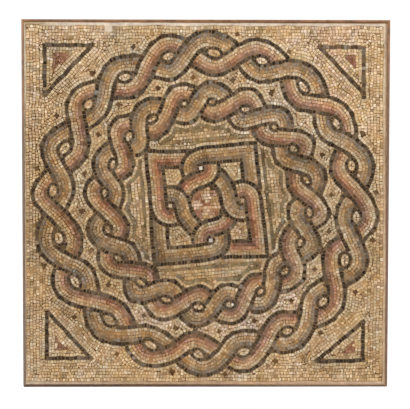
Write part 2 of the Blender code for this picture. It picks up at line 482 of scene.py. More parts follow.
# ----------------------------------------------------------------------- triangles and dots
for tri, (sides, red_field, tone) in enumerate(TRIANGLES):
    for i, (ax, az, bx, bz) in enumerate(sides):
        a, b = np.array((ax, az), float), np.array((bx, bz), float)
        t = (b - a) / math.hypot(*(b - a))
        a2, b2 = a - t * 3.0, b + t * 3.0
        k = int(math.hypot(*(b2 - a2)))
        f = (np.arange(k + 1) / k)[:, None]
        pos = a2 * (1 - f) + b2 * f
        bend = wave(rnd.random(), 1.0, 60)
        nrm = np.tile(np.array([-t[1], t[0]]), (k + 1, 1))
        pos = pos + nrm * np.array([bend(s) for s in range(k + 1)])[:, None]
        lay(pos, nrm, [5.4, -5.4], ["dark"], 14.0 + 0.1 * i, lambda u, x, z, kind: True, row0=400 + tri)

# ----------------------------------------------------------------------- plan raster helpers
GX0, GZ0 = -545, -545
GN = 1091


def raster(polys, into):
    for poly in polys:
        xs = [p[0] for p in poly]
        zs = [p[1] for p in poly]
        x0, x1 = max(0, int(min(xs) - GX0)), min(GN - 1, int(max(xs) - GX0) + 1)
        z0, z1 = max(0, int(min(zs) - GZ0)), min(GN - 1, int(max(zs) - GZ0) + 1)
        if x1 < x0 or z1 < z0:
            continue
        gx = np.arange(x0, x1 + 1)[None, :] + GX0
        gz = np.arange(z0, z1 + 1)[:, None] + GZ0
        inside = np.ones((z1 - z0 + 1, x1 - x0 + 1), bool)
        for i in range(len(poly)):
            a, b = poly[i], poly[(i + 1) % len(poly)]
            inside &= (b[0] - a[0]) * (gz - a[1]) - (b[1] - a[1]) * (gx - a[0]) >= -0.3
        into[z0:z1 + 1, x0:x1 + 1] |= inside
    return into


def distance(mask, reach=64):
    """Distance in millimetres from every cell to the nearest set cell (jump flooding)."""
    n0, n1 = mask.shape
    iz, ix = np.indices(mask.shape).astype(np.float32)
    sz = np.where(mask, iz, np.float32(1e5))
    sx = np.where(mask, ix, np.float32(1e5))
    best = (sz - iz) ** 2 + (sx - ix) ** 2
    step = reach // 2
    steps = []
    while step >= 1:
        steps.append(step)
        step //= 2
    steps.append(1)
    for st in steps:
        for dz in (-st, 0, st):
            for dx in (-st, 0, st):
                if dz == 0 and dx == 0:
                    continue
                a0, a1 = max(0, dz), min(n0, n0 + dz)
                b0, b1 = max(0, dx), min(n1, n1 + dx)
                s0, s1 = max(0, -dz), min(n0, n0 - dz)
                t0, t1 = max(0, -dx), min(n1, n1 - dx)
                cz, cx = sz[s0:s1, t0:t1], sx[s0:s1, t0:t1]
                d = (cz - iz[a0:a1, b0:b1]) ** 2 + (cx - ix[a0:a1, b0:b1]) ** 2
                bb = best[a0:a1, b0:b1]
                win = d < bb
                bb[win] = d[win]
                sz[a0:a1, b0:b1][win] = cz[win]
                sx[a0:a1, b0:b1][win] = cx[win]
    return np.sqrt(best)


def blur(a, times=1):
    for _ in range(times):
        b = a.copy()
        b[1:-1] = (a[:-2] + 2 * a[1:-1] + a[2:]) / 4
        a = b.copy()
        a[:, 1:-1] = (b[:, :-2] + 2 * b[:, 1:-1] + b[:, 2:]) / 4
    return a


def contours(d, level):
    """Polylines of d == level, with the higher side on the left."""
    v = d - level
    v = np.where(np.abs(v) < 1e-4, 1e-4, v)
    s = v > 0
    a, b, c, e = s[:-1, :-1], s[:-1, 1:], s[1:, 1:], s[1:, :-1]
    mixed = (a | b | c | e) & ~(a & b & c & e)
    links = {}
    for i, j in zip(*np.nonzero(mixed)):
        va, vb, vc, ve = v[i, j], v[i, j + 1], v[i + 1, j + 1], v[i + 1, j]
        pts = []
        # edges: 0 bottom (a-b), 1 right (b-c), 2 top (e-c), 3 left (a-e); ids are shared between cells
        if (va > 0) != (vb > 0):
            pts.append((0, (i, j, 0), (j + va / (va - vb), i)))
        if (vb > 0) != (vc > 0):
            pts.append((1, (i, j + 1, 1), (j + 1, i + vb / (vb - vc))))
        if (ve > 0) != (vc > 0):
            pts.append((2, (i + 1, j, 0), (j + ve / (ve - vc), i + 1)))
        if (va > 0) != (ve > 0):
            pts.append((3, (i, j, 1), (j, i + va / (va - ve))))
        if len(pts) == 2:
            pairs = [(pts[0], pts[1])]
        elif len(pts) == 4:
            pairs = [(pts[0], pts[3]), (pts[1], pts[2])] if va > 0 else [(pts[0], pts[1]), (pts[2], pts[3])]
        else:
            continue
        for p, q in pairs:
            (px, pz), (qx, qz) = p[2], q[2]
            # put the higher side on the left
            mx, mz = (px + qx) / 2, (pz + qz) / 2
            fx, fz = mx - j, mz - i
            gx = (vb - va) * (1 - fz) + (vc - ve) * fz
            gz = (ve - va) * (1 - fx) + (vc - vb) * fx
            if (-(qz - pz)) * gx + (qx - px) * gz < 0:
                p, q = q, p
            links[p[1]] = (q[1], p[2], q[2])
    out = []
    starts = set(links) - {t[0] for t in links.values()}
    left = dict(links)
    for first in list(starts) + list(links):
        if first not in left:
            continue
        line, key, closed = [], first, False
        while key in left:
            nxt, p, q = left.pop(key)
            if not line:
                line.append(p)
            line.append(q)
            key = nxt
            if key == first:
                closed = True
        if len(line) > 6:
            out.append((np.array(line, float) + (GX0, GZ0), closed))
    return out


def relax(line, closed, width=4):
    p = line[:-1] if closed else line
    for _ in range(width):
        if closed:
            p = (np.roll(p, 1, 0) + 2 * p + np.roll(p, -1, 0)) / 4
        else:
            q = p.copy()
            q[1:-1] = (p[:-2] + 2 * p[1:-1] + p[2:]) / 4
            p = q
    if closed:
        p = np.concatenate([p, p[:1]])
    # even spacing of about a millimetre
    seg = np.hypot(*np.diff(p, axis=0).T)
    cum = np.concatenate([[0], np.cumsum(seg)])
    k = max(3, int(cum[-1]))
    s = np.linspace(0, cum[-1], k + 1)
    pos = np.stack([np.interp(s, cum, p[:, 0]), np.interp(s, cum, p[:, 1])], 1)
    t = np.gradient(pos, axis=0)
    if closed:
        t[0] = t[-1] = pos[1] - pos[-2]
    t /= np.maximum(np.hypot(t[:, 0], t[:, 1]), 1e-6)[:, None]
    nrm = np.stack([-t[:, 1], t[:, 0]], 1)
    if closed:
        pos, nrm = pos[:-1], nrm[:-1]
    return pos, nrm


def free(mask, poly, share=0.4):
    """True while no more than that share of the stone's place is taken."""
    cx, cz = centre(poly)
    hit = tot = 0
    for k in (0.0, 0.45, 0.8):
        for p in poly if k else poly[:1]:
            x, z = cx + (p[0] - cx) * k, cz + (p[1] - cz) * k
            i, j = int(round(z - GZ0)), int(round(x - GX0))
            tot += 1
            if not (0 <= i < GN and 0 <= j < GN) or mask[i, j]:
                hit += 1
    return hit <= share * tot


def settle(mask, start):
    """Keeps the newly laid stones that find room, marks them, drops the others."""
    kept = []
    for st in stones[start:]:
        if free(mask, st.poly):
            kept.append(st)
            raster([st.poly], mask)
    del stones[start:]
    stones.extend(kept)
    return len(kept)


taken = np.zeros((GN, GN), bool)
raster([s.poly for s in stones], taken)
xs = np.arange(GN) + GX0
top = np.array([edge_top(x) for x in xs])
bot = np.array([edge_bottom(x) for x in xs])
lef = np.array([edge_left(z) for z in xs])
rig = np.array([edge_right(z) for z in xs])
outside = (xs[:, None] > top[None, :]) | (xs[:, None] < bot[None, :]) | (xs[None, :] < lef[:, None]) | (xs[None, :] > rig[:, None])
for x0, z0, x1, z1 in LOST:
    outside[z0 - GZ0:z1 - GZ0, x0 - GX0:x1 - GX0] = True
taken |= outside

# straight courses along the four edges
start = len(stones)
yes = lambda u, x, z, kind: True
for k in range(3):
    d = (k + 0.5) * PITCH
    if k < 2:
        x = np.arange(FIELD[0], FIELD[2])
        for fn, sg in ((edge_top, -1), (edge_bottom, 1)):
            z = np.array([fn(v) for v in x])
            ker = np.ones(25) / 25
            z = np.convolve(np.pad(z, 12, mode="edge"), ker, "valid")
            pos = np.stack([x, z + sg * d], 1)
            nrm = np.tile(np.array([0.0, 1.0]), (len(x), 1))
            lay(pos, nrm, [PITCH / 2, -PITCH / 2], ["ground"], 4.0 - 0.1 * k, yes, row0=500 + k)
    z = np.arange(FIELD[1], FIELD[3])
    for fn, sg in ((edge_left, 1), (edge_right, -1)):
        if k == 2 and sg < 0:
            continue
        x = np.array([fn(v) for v in z])
        x = np.convolve(np.pad(x, 12, mode="edge"), np.ones(25) / 25, "valid")
        pos = np.stack([x + sg * d, z], 1)
        nrm = np.tile(np.array([-1.0, 0.0]), (len(z), 1))
        lay(pos, nrm, [PITCH / 2, -PITCH / 2], ["ground"], 3.95 - 0.1 * k, yes, row0=510 + k)
settle(taken, start)

# centre medallion: straight courses, turned a little
start = len(stones)
for k in range(-6, 7):
    f = np.arange(-60, 61, dtype=float)
    tilt = 0.06
    pos = np.stack([f * math.cos(tilt) - k * 9.3 * math.sin(tilt), f * math.sin(tilt) + k * 9.3 * math.cos(tilt)], 1)
    pos = pos[(pos ** 2).sum(1) < 54 ** 2]
    if len(pos) < 8:
        continue
    nrm = np.tile(np.array([-math.sin(tilt), math.cos(tilt)]), (len(pos), 1))
    lay(pos, nrm, [4.65, -4.65], ["medal"], 5.0, yes, row0=600 + k, mean=9.3)
settle(taken, start)

# one course that follows every outline
dist = blur(distance(taken), 1)
start = len(stones)
for line, closed in contours(dist, PITCH / 2 + 0.1):
    pos, nrm = relax(line, closed)
    if len(pos) < 14:
        continue
    lay(pos, nrm, [-PITCH / 2, PITCH / 2], ["hug"], 3.5, yes, row0=700, closed=closed, mean=9.2)
settle(taken, start)

# a wavy course that follows the inner ring's lobes, round the square knot
sq = [np.asarray(p, float) for p in SQUARE]


def beyond(x, z):
    """How far outside the square a place lies (clockwise corners: left is outside)."""
    far = -1e9
    for side in range(4):
        a, b = sq[side], sq[(side + 1) % 4]
        t = (b - a) / math.hypot(*(b - a))
        far = max(far, (z - a[1]) * t[0] - (x - a[0]) * t[1])
    return far


dist = blur(distance(taken), 1)
start = len(stones)
for line, closed in contours(dist, PITCH / 2 + 0.1):
    pos, nrm = relax(line, closed)
    if len(pos) < 14 or (pos ** 2).sum(1).min() > 285 ** 2:
        continue
    lay(pos, nrm, [-PITCH / 2, PITCH / 2], ["wave"], 3.4,
        lambda u, x, z, kind: x * x + z * z < 292 ** 2 and beyond(x, z) > 5.0 + 2.2 * PITCH,
        row0=710, closed=closed, mean=9.2)
settle(taken, start)

# straight courses between the square knot and the inner ring
start = len(stones)
for side in range(4):
    a, b = sq[side], sq[(side + 1) % 4]
    t = (b - a) / math.hypot(*(b - a))
    nout = np.array([-t[1], t[0]])
    for k in range(1, 11):
        d = 5.0 + (k + 0.5) * PITCH
        a2, b2 = a - t * 60 + nout * d, b + t * 60 + nout * d
        m = int(math.hypot(*(b2 - a2)))
        f = (np.arange(m + 1) / m)[:, None]
        bow = (1 - (2 * f[:, 0] - 1) ** 2) * 3.0
        pos = a2 * (1 - f) + b2 * f + nout * bow[:, None] * (0.2 if side % 2 else 0.5)
        nrm = np.tile(nout, (m + 1, 1))
        keep = lambda u, x, z, kind: x * x + z * z < 292 ** 2
        lay(pos, nrm, [PITCH / 2, -PITCH / 2], ["pad%d_%d" % (side, k)], 3.0, keep, row0=800 + 20 * side + k)
settle(taken, start)

# further courses that follow the outlines, then whatever stones still fit
for rank in range(1, 6):
    dist = blur(distance(taken), 1)
    start = len(stones)
    for line, closed in contours(dist, PITCH / 2 + 0.1):
        pos, nrm = relax(line, closed)
        if len(pos) < 9:
            continue
        lay(pos, nrm, [-PITCH / 2, PITCH / 2], ["ground"], 2.5 - 0.1 * rank, yes, row0=900 + rank, closed=closed, mean=9.3)
    if settle(taken, start) < 5:
        break



class Near:
    """Finds stones by place."""

    def __init__(self, cell=14.0):
        self.cell, self.grid = cell, {}

    def add(self, k, poly):
        x, z = centre(poly)
        self.grid.setdefault((int(x // self.cell), int(z // self.cell)), []).append((k, x, z))

    def around(self, x, z, r=1):
        i, j = int(x // self.cell), int(z // self.cell)
        for a in range(i - r, i + r + 1):
            for b in range(j - r, j + r + 1):
                yield from self.grid.get((a, b), ())


# small cut stones where a hole was left
FILL_STRAND = ("cream", "ochre", "pink", "clay", "grey", "amber", "tan")
for rank in range(4):
    where = Near()
    for k, st in enumerate(stones):
        where.add(k, st.poly)
    dist = distance(taken, 16)
    core = dist[3:-3, 3:-3]
    peak = core > (3.2, 2.8, 2.5, 2.3)[rank]
    for dz in range(-3, 4):
        for dx in range(-3, 4):
            peak &= core >= dist[3 + dz:GN - 3 + dz, 3 + dx:GN - 3 + dx]
    added = 0
    for i, j in zip(*np.nonzero(peak)):
        x, z = j + 3 + GX0, i + 3 + GZ0
        r = float(dist[i + 3, j + 3])
        if taken[i + 3, j + 3]:
            continue
        best = sorted((abs(sx - x) + abs(sz - z), k) for k, sx, sz in where.around(x, z, 2))[:3]
        if not best:
            continue
        host = stones[best[0][1]]
        kinds = [stones[k].kind for _, k in best]
        kind = kinds[0]
        if kind == "dark" and len(kinds) > 1:
            kind = kinds[1]
        if min(oval(*e, x, z) for e in EYES_A + EYES_B) < 1.15:
            kind = "eye"
        if kind.startswith("eye_"):
            kind = "dark"
        size = min(9.0, 2 * r * 1.22)
        turn = math.atan2(host.dirz, host.dirx) + rnd.gauss(0, 0.12)
        w = min(10.0, size * rnd.uniform(1.0, 1.35))
        st = block(x, z, w, size, turn, 1.0 - 0.1 * rank, kind, host.row)
        raster([st.poly], taken)
        added += 1
    if added < 10:
        break

# dark stones scattered singly in the ground: they take the place of what was laid there
for x, z, shape in DOTS:
    turn = rnd.uniform(0.4, 1.1)
    if shape == 2:      # three stones set as a small arrowhead
        block(x - 4.2, z + 3.4, 8.6, 7.8, rnd.uniform(-0.2, 0.2), 15.0, "dot")
        block(x + 4.2, z + 3.4, 8.6, 7.8, rnd.uniform(-0.2, 0.2), 15.0, "dot")
        block(x, z - 4.0, 8.4, 7.6, turn, 14.9, "dot")
    else:
        block(x, z, 11.5, 11.0, turn, 15.0, "dot" if shape else "faint")

# ----------------------------------------------------------------------- cutting to fit
where = Near(14.0)
for k, st in enumerate(stones):
    where.add(k, st.poly)


def cut_apart(a, b):
    """Trims two stones that meet so that a joint is left between them."""
    pa, pb = a.poly, b.poly
    gap = 0.38 + 0.42 * ((a.seed + b.seed) % 1.0)
    options = []
    for owner, p, q in ((0, pa, pb), (1, pb, pa)):
        n = len(p)
        for i in range(n):
            x0, z0 = p[i]
            x1, z1 = p[(i + 1) % n]
            nx, nz = z1 - z0, x0 - x1
            ln = math.hypot(nx, nz)
            if ln < 0.8:
                continue
            nx, nz = nx / ln, nz / ln
            c = nx * x0 + nz * z0
            s = min(nx * v[0] + nz * v[1] for v in q) - c
            if s >= gap:
                return
            options.append((s, owner, nx, nz, c))
    if abs(a.prio - b.prio) > 0.35:
        low_is_b = a.prio > b.prio
        want = 0 if low_is_b else 1
        best = max(o for o in options if o[1] == want)
        s, owner, nx, nz, c = best
        cut = clip_line(b.poly if low_is_b else a.poly, -nx, -nz, -(c + gap))
        if low_is_b:
            b.poly = cut
        else:
            a.poly = cut
        return
    s, owner, nx, nz, c = max(options)
    mid = c + s / 2
    first = clip_line(pa if owner == 0 else pb, nx, nz, mid - gap / 2)
    second = clip_line(pb if owner == 0 else pa, -nx, -nz, -(mid + gap / 2))
    if owner == 0:
        a.poly, b.poly = first, second
    else:
        b.poly, a.poly = first, second


order = sorted(range(len(stones)), key=lambda k: -stones[k].prio)
rank_of = {k: r for r, k in enumerate(order)}
for k in order:
    st = stones[k]
    if len(st.poly) < 3:
        continue
    x, z = centre(st.poly)
    for m, mx, mz in list(where.around(x, z, 1)):
        if m == k or rank_of[m] < rank_of[k] or len(stones[m].poly) < 3:
            continue
        if (mx - x) ** 2 + (mz - z) ** 2 > 17.0 ** 2:
            continue
        cut_apart(st, stones[m])
        for one in (st, stones[m]):
            if len(one.poly) < 3 or area(one.poly) < 4.0:
                one.poly = []
        if len(st.poly) < 3:
            break


def tidy(poly):
    """Drops corners that lie on top of one another."""
    out = []
    for p in poly:
        if not out or math.hypot(p[0] - out[-1][0], p[1] - out[-1][1]) > 0.35:
            out.append(p)
    while len(out) > 3 and math.hypot(out[0][0] - out[-1][0], out[0][1] - out[-1][1]) < 0.35:
        out.pop()
    return out


def thinnest(poly):
    best = 1e9
    for i in range(len(poly)):
        a, b = poly[i - 1], poly[i]
        ln = math.hypot(b[0] - a[0], b[1] - a[1])
        if ln < 0.3:
            continue
        nx, nz = (a[1] - b[1]) / ln, (b[0] - a[0]) / ln
        best = min(best, max(nx * (v[0] - a[0]) + nz * (v[1] - a[1]) for v in poly))
    return best


def rough(poly, r, loose):
    """Sets each side back unevenly, so that joints open and close along their length."""
    src = poly
    n = len(src)
    for i in range(n):
        a, b = src[i], src[(i + 1) % n]
        ln = math.hypot(b[0] - a[0], b[1] - a[1])
        if ln < 2.0:
            continue
        nx, nz = (b[1] - a[1]) / ln, (a[0] - b[0]) / ln
        wide = r.uniform(0.5, 1.5) if r.random() < loose else 0.0
        d0, d1 = (min(1.6, r.uniform(0.0, 0.34) + wide * r.uniform(0.3, 1.0)) for _ in (0, 1))
        if abs(d0 - d1) > 0.16 * ln:
            d1 = d0 + math.copysign(0.16 * ln, d1 - d0)
        ax, az = a[0] - nx * d0, a[1] - nz * d0
        bx, bz = b[0] - nx * d1, b[1] - nz * d1
        l2 = math.hypot(bx - ax, bz - az)
        mx, mz = (bz - az) / l2, (ax - bx) / l2
        cut = clip_line(poly, mx, mz, mx * ax + mz * az)
        if len(cut) >= 3 and area(cut) > 0.72 * area(poly):
            poly = cut
    return poly


final = []
for st in stones:
    if len(st.poly) >= 3 and area(st.poly) > 20.0:
        x, z = centre(st.poly)
        loose = 0.12 + 0.22 * math.exp(-((x + 500) / 70) ** 2 - ((z - 160) / 190) ** 2)
        if st.kind == "dark":
            loose = 0.34
        st.poly = rough(st.poly, random.Random(int(st.seed * 3e8) + 11), loose)
    poly = tidy([(min(max(x, FIELD[0]), FIELD[2]), min(max(z, FIELD[1]), FIELD[3])) for x, z in st.poly])
    if len(poly) < 3 or area(poly) < 13.0 or thinnest(poly) < 2.4:
        continue
    st.poly = poly
    final.append(st)
stones = final

# a stone of the ground that touches a dark outline belongs to the pale course that hugs it
where = Near(14.0)
for k, st in enumerate(stones):
    if st.kind == "dark":
        where.add(k, st.poly)
for st in stones:
    if st.kind in ("hug", "ground"):
        x, z = centre(st.poly)
        if min(oval(*e, x, z) for e in EYES_A + EYES_B) < 1.25:
            st.kind = "eye"
            continue
        close = min([math.hypot(mx - x, mz - z) for _, mx, mz in where.around(x, z, 1)] + [99.0])
        st.kind = "hug" if close < 12.5 else "ground"


# ======================================================================= colours of the stones
def lattice(i, j, k):
    n = (i * 374761393 + j * 668265263 + k * 2147483647 + SEED) & 0xFFFFFFFF
    n = ((n ^ (n >> 13)) * 1274126177) & 0xFFFFFFFF
    return ((n ^ (n >> 16)) & 0xFFFF) / 65535.0


def field(x, z, size, k):
    """Slowly varying value from 0 to 1 over the plan."""
    u, v = x / size, z / size
    i, j = math.floor(u), math.floor(v)
    u, v = u - i, v - j
    u, v = u * u * (3 - 2 * u), v * v * (3 - 2 * v)
    a = lattice(i, j, k) * (1 - u) + lattice(i + 1, j, k) * u
    b = lattice(i, j + 1, k) * (1 - u) + lattice(i + 1, j + 1, k) * u
    return a * (1 - v) + b * v


def hump(x, z, cx, cz, rx, rz):
    return math.exp(-((x - cx) / rx) ** 2 - ((z - cz) / rz) ** 2)


# stone sorts, as sRGB 0-255; the first of each list is the commonest
SORTS = {
    "dark": ((70, 53, 34), (62, 47, 31), (77, 61, 42), (80, 60, 38), (73, 62, 48), (74, 60, 47), (68, 51, 29),
             (89, 71, 50), (57, 45, 33)),
    "cream": ((169, 147, 118), (162, 138, 105), (179, 160, 135), (158, 132, 96), (168, 146, 119),
              (159, 140, 112), (148, 124, 92)),
    "ochre": ((170, 137, 103), (162, 128, 92), (177, 146, 116), (165, 131, 98), (162, 130, 96)),
    "pink": ((152, 114, 88), (158, 120, 96), (142, 104, 79), (154, 117, 97), (156, 117, 87)),
    "clay": ((119, 88, 70), (111, 80, 63), (124, 92, 74), (120, 93, 78), (109, 82, 66)),
    "grey": ((116, 100, 82), (106, 91, 73), (116, 108, 98), (106, 95, 86), (108, 95, 76), (126, 105, 80)),
    "amber": ((142, 116, 86), (149, 117, 77), (131, 111, 87), (153, 120, 82), (139, 115, 82)),
    "tan": ((158, 127, 90), (161, 132, 100), (152, 120, 80), (167, 130, 88), (155, 128, 96)),
    "ground": ((180, 152, 118), (174, 143, 105), (187, 161, 130), (179, 150, 117), (174, 145, 108),
               (194, 171, 145), (163, 133, 99), (150, 124, 93)),
    "hug": ((178, 155, 124), (171, 147, 114), (185, 165, 138), (173, 147, 109), (176, 154, 127), (161, 139, 110)),
    "eye": ((179, 156, 125), (172, 145, 110), (190, 170, 144), (164, 136, 103), (178, 151, 111)),
    "dot": ((81, 58, 32), (71, 51, 29), (91, 65, 36)),
    "faint": ((98, 77, 52), (106, 83, 57)),
    "eye_white": ((180, 176, 166),),
    "eye_cream": ((152, 131, 107),),
    "olive": ((127, 109, 80), (121, 104, 72), (133, 113, 86), (117, 101, 78), (139, 114, 82), (125, 103, 82)),
    "rosy": ((182, 155, 130), (190, 165, 142), (171, 144, 119), (194, 168, 142), (167, 140, 111)),
    "brick": ((128, 90, 70), (136, 96, 76), (121, 83, 63), (143, 101, 81)),
}
PAD_SORT = {   # courses outwards from the square knot: top, right, bottom, left
    0: {1: "olive", 2: "ground", 3: "ground", 4: "pale_olive"},
    1: {1: "olive", 2: "pale_olive", 3: "ground", 4: "hug"},
    2: {1: "olive", 2: "ground", 3: "hug"},
    3: {1: "olive", 2: "pale_olive", 3: "ground"},
}
PAD_TONE = {0: {1: 1.04, 4: 1.02}, 1: {1: 0.82}, 2: {1: 1.0}, 3: {1: 0.88}}


def inside(poly, x, z):
    sign = 0
    for i in range(len(poly)):
        a, b = poly[i - 1], poly[i]
        c = (b[0] - a[0]) * (z - a[1]) - (b[1] - a[1]) * (x - a[0])
        if c and sign and (c > 0) != (sign > 0):
            return False
        sign = sign or c
    return True


def stone_colour(st):
    x, z = centre(st.poly)
    r = random.Random(int(st.seed * 1e9))
    kind, tone = st.kind, 1.0
    if kind.startswith("pad"):
        side, k = int(kind[3]), int(kind.split("_")[1])
        tone = PAD_TONE[side].get(k, 1.0)
        kind = PAD_SORT[side].get(k, "ground")
        if kind == "pale_olive":
            kind = "olive" if field(x, z, 26, 5) > 0.55 else "ground"
    if kind == "wave":      # dark on all four sides, but thins out towards the top right corner
        kind = "olive" if field(x, z, 30, 6) > (0.9 if z > 150 and x > 90 else 0.2) else "ground"
        tone = 0.9 if abs(x) > abs(z) else 0.98
    if kind in ("ground", "hug"):
        for _, red_field, _ in TRIANGLES:
            if inside(red_field, x, z):
                kind = "brick"
        warm = (hump(x, z, 370, 505, 90, 60) + hump(x, z, -150, -345, 80, 60) + hump(x, z, 110, -365, 110, 45)
                + hump(x, z, 290, -275, 60, 60) + hump(x, z, 105, -85, 26, 40) + 0.7 * hump(x, z, -430, 500, 80, 40)
                + 0.6 * hump(x, z, 400, 350, 70, 70))
        if kind != "brick" and r.random() < warm * 0.75:
            kind = "rosy"
    if kind == "medal":
        kind = "rosy" if r.random() < 0.6 else "ochre"
        if -44 < x < -17 and 13 < z < 40 or -11 < x < 9 and -9 < z < 10 or -41 < x < -9 and -39 < z < -19:
            kind = "brick"
        elif 9 < x < 46 and -33 < z < -14:
            kind = "pink"
        elif 16 < x < 40 and 2 < z < 22:
            kind = "tan"
        elif 16 < x < 40 and 26 < z < 44:
            kind = "pink" if r.random() < 0.6 else "grey"
        elif 8 < x < 36 and z > 44:
            kind = "dark"
    if 399 < st.row < 410 and kind == "dark":
        tone *= TRIANGLES[st.row - 400][2]
    sorts = SORTS[kind]
    # a vein of one sort runs on for a few stones before the mason reached for another basket
    pick = field(x, z, 34, 11) * 1.25 - 0.1 + r.gauss(0, 0.30)
    c = sorts[0] if r.random() < 0.42 else sorts[int(min(max(pick, 0.0), 0.999) * len(sorts))]
    if kind == "dark" and r.random() < (0.03 if 299 < st.row < 310 else 0.08):
        c = (98, 76, 52) if r.random() < 0.6 else (94, 82, 66)
    spread = {"dark": 0.40, "grey": 0.13, "ground": 0.072, "hug": 0.09, "cream": 0.095, "clay": 0.13, "ochre": 0.09}.get(kind, 0.112)
    if 299 < st.row < 310:       # the square knot is of sharper work
        if kind in ("clay", "pink"):
            c = (c[0] + 3, c[1] - 2, c[2] - 1)
        tone *= {"dark": 0.88, "clay": 1.0, "pink": 1.05}.get(kind, 0.99)
    elif kind == "dark":
        tone *= 1.04
    lift = math.exp(max(-2.4, min(1.05, r.gauss(0, 1))) * spread)
    lift *= 1.0 + 0.10 * (field(x, z, 120, 21) - 0.5) + 0.13 * (field(x, z, 42, 23) - 0.5)
    # broad areas: deeper across the middle and lower left, paler at the top right and bottom centre
    if kind == "dark":
        broad = (0.03 - 0.15 * hump(x, z, -435, -60, 90, 190) - 0.08 * hump(x, z, -250, 320, 110, 60)
                 - 0.12 * hump(x, z, 470, 60, 60, 90) + 0.16 * hump(x, z, -60, -430, 180, 80)
                 + 0.10 * hump(x, z, 400, 330, 90, 110) + 0.07 * hump(x, z, 60, 60, 180, 200)
                 + 0.20 * hump(x, z, -190, 430, 120, 70) + 0.11 * hump(x, z, 345, 470, 130, 60)
                 + 0.19 * hump(x, z, -430, 310, 60, 80) + 0.19 * hump(x, z, 455, 240, 70, 90)
                 + 0.10 * hump(x, z, 295, 200, 50, 50) + 0.12 * hump(x, z, 100, 450, 60, 60)
                 + 0.16 * hump(x, z, 0, -420, 200, 90) + 0.19 * hump(x, z, 300, -480, 190, 60)
                 + 0.08 * hump(x, z, 250, -320, 90, 60) + 0.14 * hump(x, z, 110, -110, 45, 45)
                 - 0.10 * hump(x, z, -100, 0, 50, 40) - 0.07 * hump(x, z, -480, -200, 50, 80))
        blue = (1.06 - 0.13 * math.exp(-((z + 40) / 160) ** 2) + 0.09 * min(1.0, max(0.0, (z - 250) / 100))
                - 0.15 * hump(x, z, -440, -140, 140, 100) - 0.14 * hump(x, z, -130, -120, 130, 110)
                + 0.09 * hump(x, z, -60, -420, 220, 80) - 0.08 * hump(x, z, 480, -420, 80, 80)
                + 0.07 * hump(x, z, 390, 400, 110, 110))
    else:
        broad = (0.03 - 0.065 * math.exp(-((z + 80) / 190) ** 2) - 0.10 * hump(x, z, -465, -110, 110, 120)
                 - 0.08 * hump(x, z, -140, -160, 130, 80) - 0.07 * hump(x, z, 275, 140, 60, 60)
                 + 0.13 * hump(x, z, 400, 310, 120, 110) + 0.05 * hump(x, z, 60, -385, 260, 60)
                 + 0.08 * hump(x, z, 330, 490, 260, 90) + 0.03 * hump(x, z, -60, 440, 180, 90)
                 + 0.07 * hump(x, z, 150, 370, 90, 90) + 0.09 * hump(x, z, -530, 530, 70, 70)
                 - 0.05 * hump(x, z, -230, 150, 90, 110) - 0.06 * hump(x, z, -400, -330, 140, 100)
                 - 0.06 * hump(x, z, 460, -320, 110, 100) + 0.10 * hump(x, z, 295, -300, 50, 50)
                 + 0.05 * hump(x, z, -515, 80, 40, 90) + 0.06 * hump(x, z, 525, 260, 35, 260)
                 - 0.05 * hump(x, z, -480, 200, 80, 60) - 0.05 * hump(x, z, -200, 110, 60, 50)
                 - 0.06 * hump(x, z, -100, -200, 50, 50) - 0.05 * hump(x, z, 500, 0, 60, 50)
                 - 0.05 * hump(x, z, 520, -470, 50, 120) - 0.06 * hump(x, z, -520, -100, 50, 50)
                 - 0.05 * hump(x, z, 200, -490, 60, 60) + 0.05 * hump(x, z, 395, 100, 60, 110)
                 + 0.04 * hump(x, z, 250, -300, 80, 50) + 0.05 * hump(x, z, 0, -500, 60, 60))
        blue = (1.0 + 0.07 * hump(x, z, 200, 330, 260, 130) + 0.09 * hump(x, z, 110, -385, 240, 70)
                - 0.05 * hump(x, z, -470, -150, 130, 210) - 0.07 * hump(x, z, -40, -90, 160, 150)
                - 0.05 * hump(x, z, 480, 330, 60, 120) - 0.05 * hump(x, z, 460, -300, 110, 130)
                + 0.08 * hump(x, z, -530, -460, 60, 110) - 0.07 * hump(x, z, -390, -60, 110, 90)
                - 0.06 * hump(x, z, -100, -190, 60, 60) + 0.10 * hump(x, z, 295, -300, 50, 50)
                + 0.06 * hump(x, z, -60, 390, 90, 50) + 0.06 * hump(x, z, -200, -330, 140, 70)
                - 0.07 * hump(x, z, 520, -520, 70, 60) - 0.05 * hump(x, z, 230, -500, 110, 50)
                - 0.06 * hump(x, z, -530, 390, 60, 110) + 0.05 * hump(x, z, 300, 250, 70, 120)
                - 0.05 * hump(x, z, 40, 80, 120, 70) - 0.05 * hump(x, z, 520, -100, 50, 60)
                - 0.05 * hump(x, z, 530, 390, 40, 60) + 0.015)
    tone *= (1.0 + broad) * (0.80 if kind == "dark" else 1.09)
    if kind in ("hug", "ground", "olive"):
        c = (c[0] - 1.5, c[1] + 0.5, c[2])
    # a paler stone is paler in every channel alike, so the cast stays the same
    own = (0.3 * c[0] + 0.59 * c[1] + 0.11 * c[2]) * (lift - 1.0)
    hue = (r.gauss(0, 1.2) + 5 * (field(x, z, 33, 71) - 0.5)) * c[1] / 130
    if kind in ("clay", "pink", "brick"):
        hue *= 3.0
    # sandier or greyer at the same lightness
    sand = (r.gauss(0, 2.0) + 13 * (field(x, z, 27, 73) - 0.5) + 10 * (field(x, z, 75, 75) - 0.5)) * (0.35 + 0.65 * c[1] / 130)
    sand += (1.0 - blue) * c[2] * 0.78
    c = (c[0] * tone + own * (1.0 if kind == "dark" else 0.92) + hue * 0.7 + sand * 0.57,
         c[1] * tone + own - hue * 0.25 - sand * 0.10,
         c[2] * tone + own * (1.0 if kind == "dark" else 1.05) - sand)
    return tuple(min(248.0, max(12.0, v)) for v in c)


def linear(c):
    c = c / 255.0
    return c / 12.92 if c <= 0.04045 else ((c + 0.055) / 1.055) ** 2.4


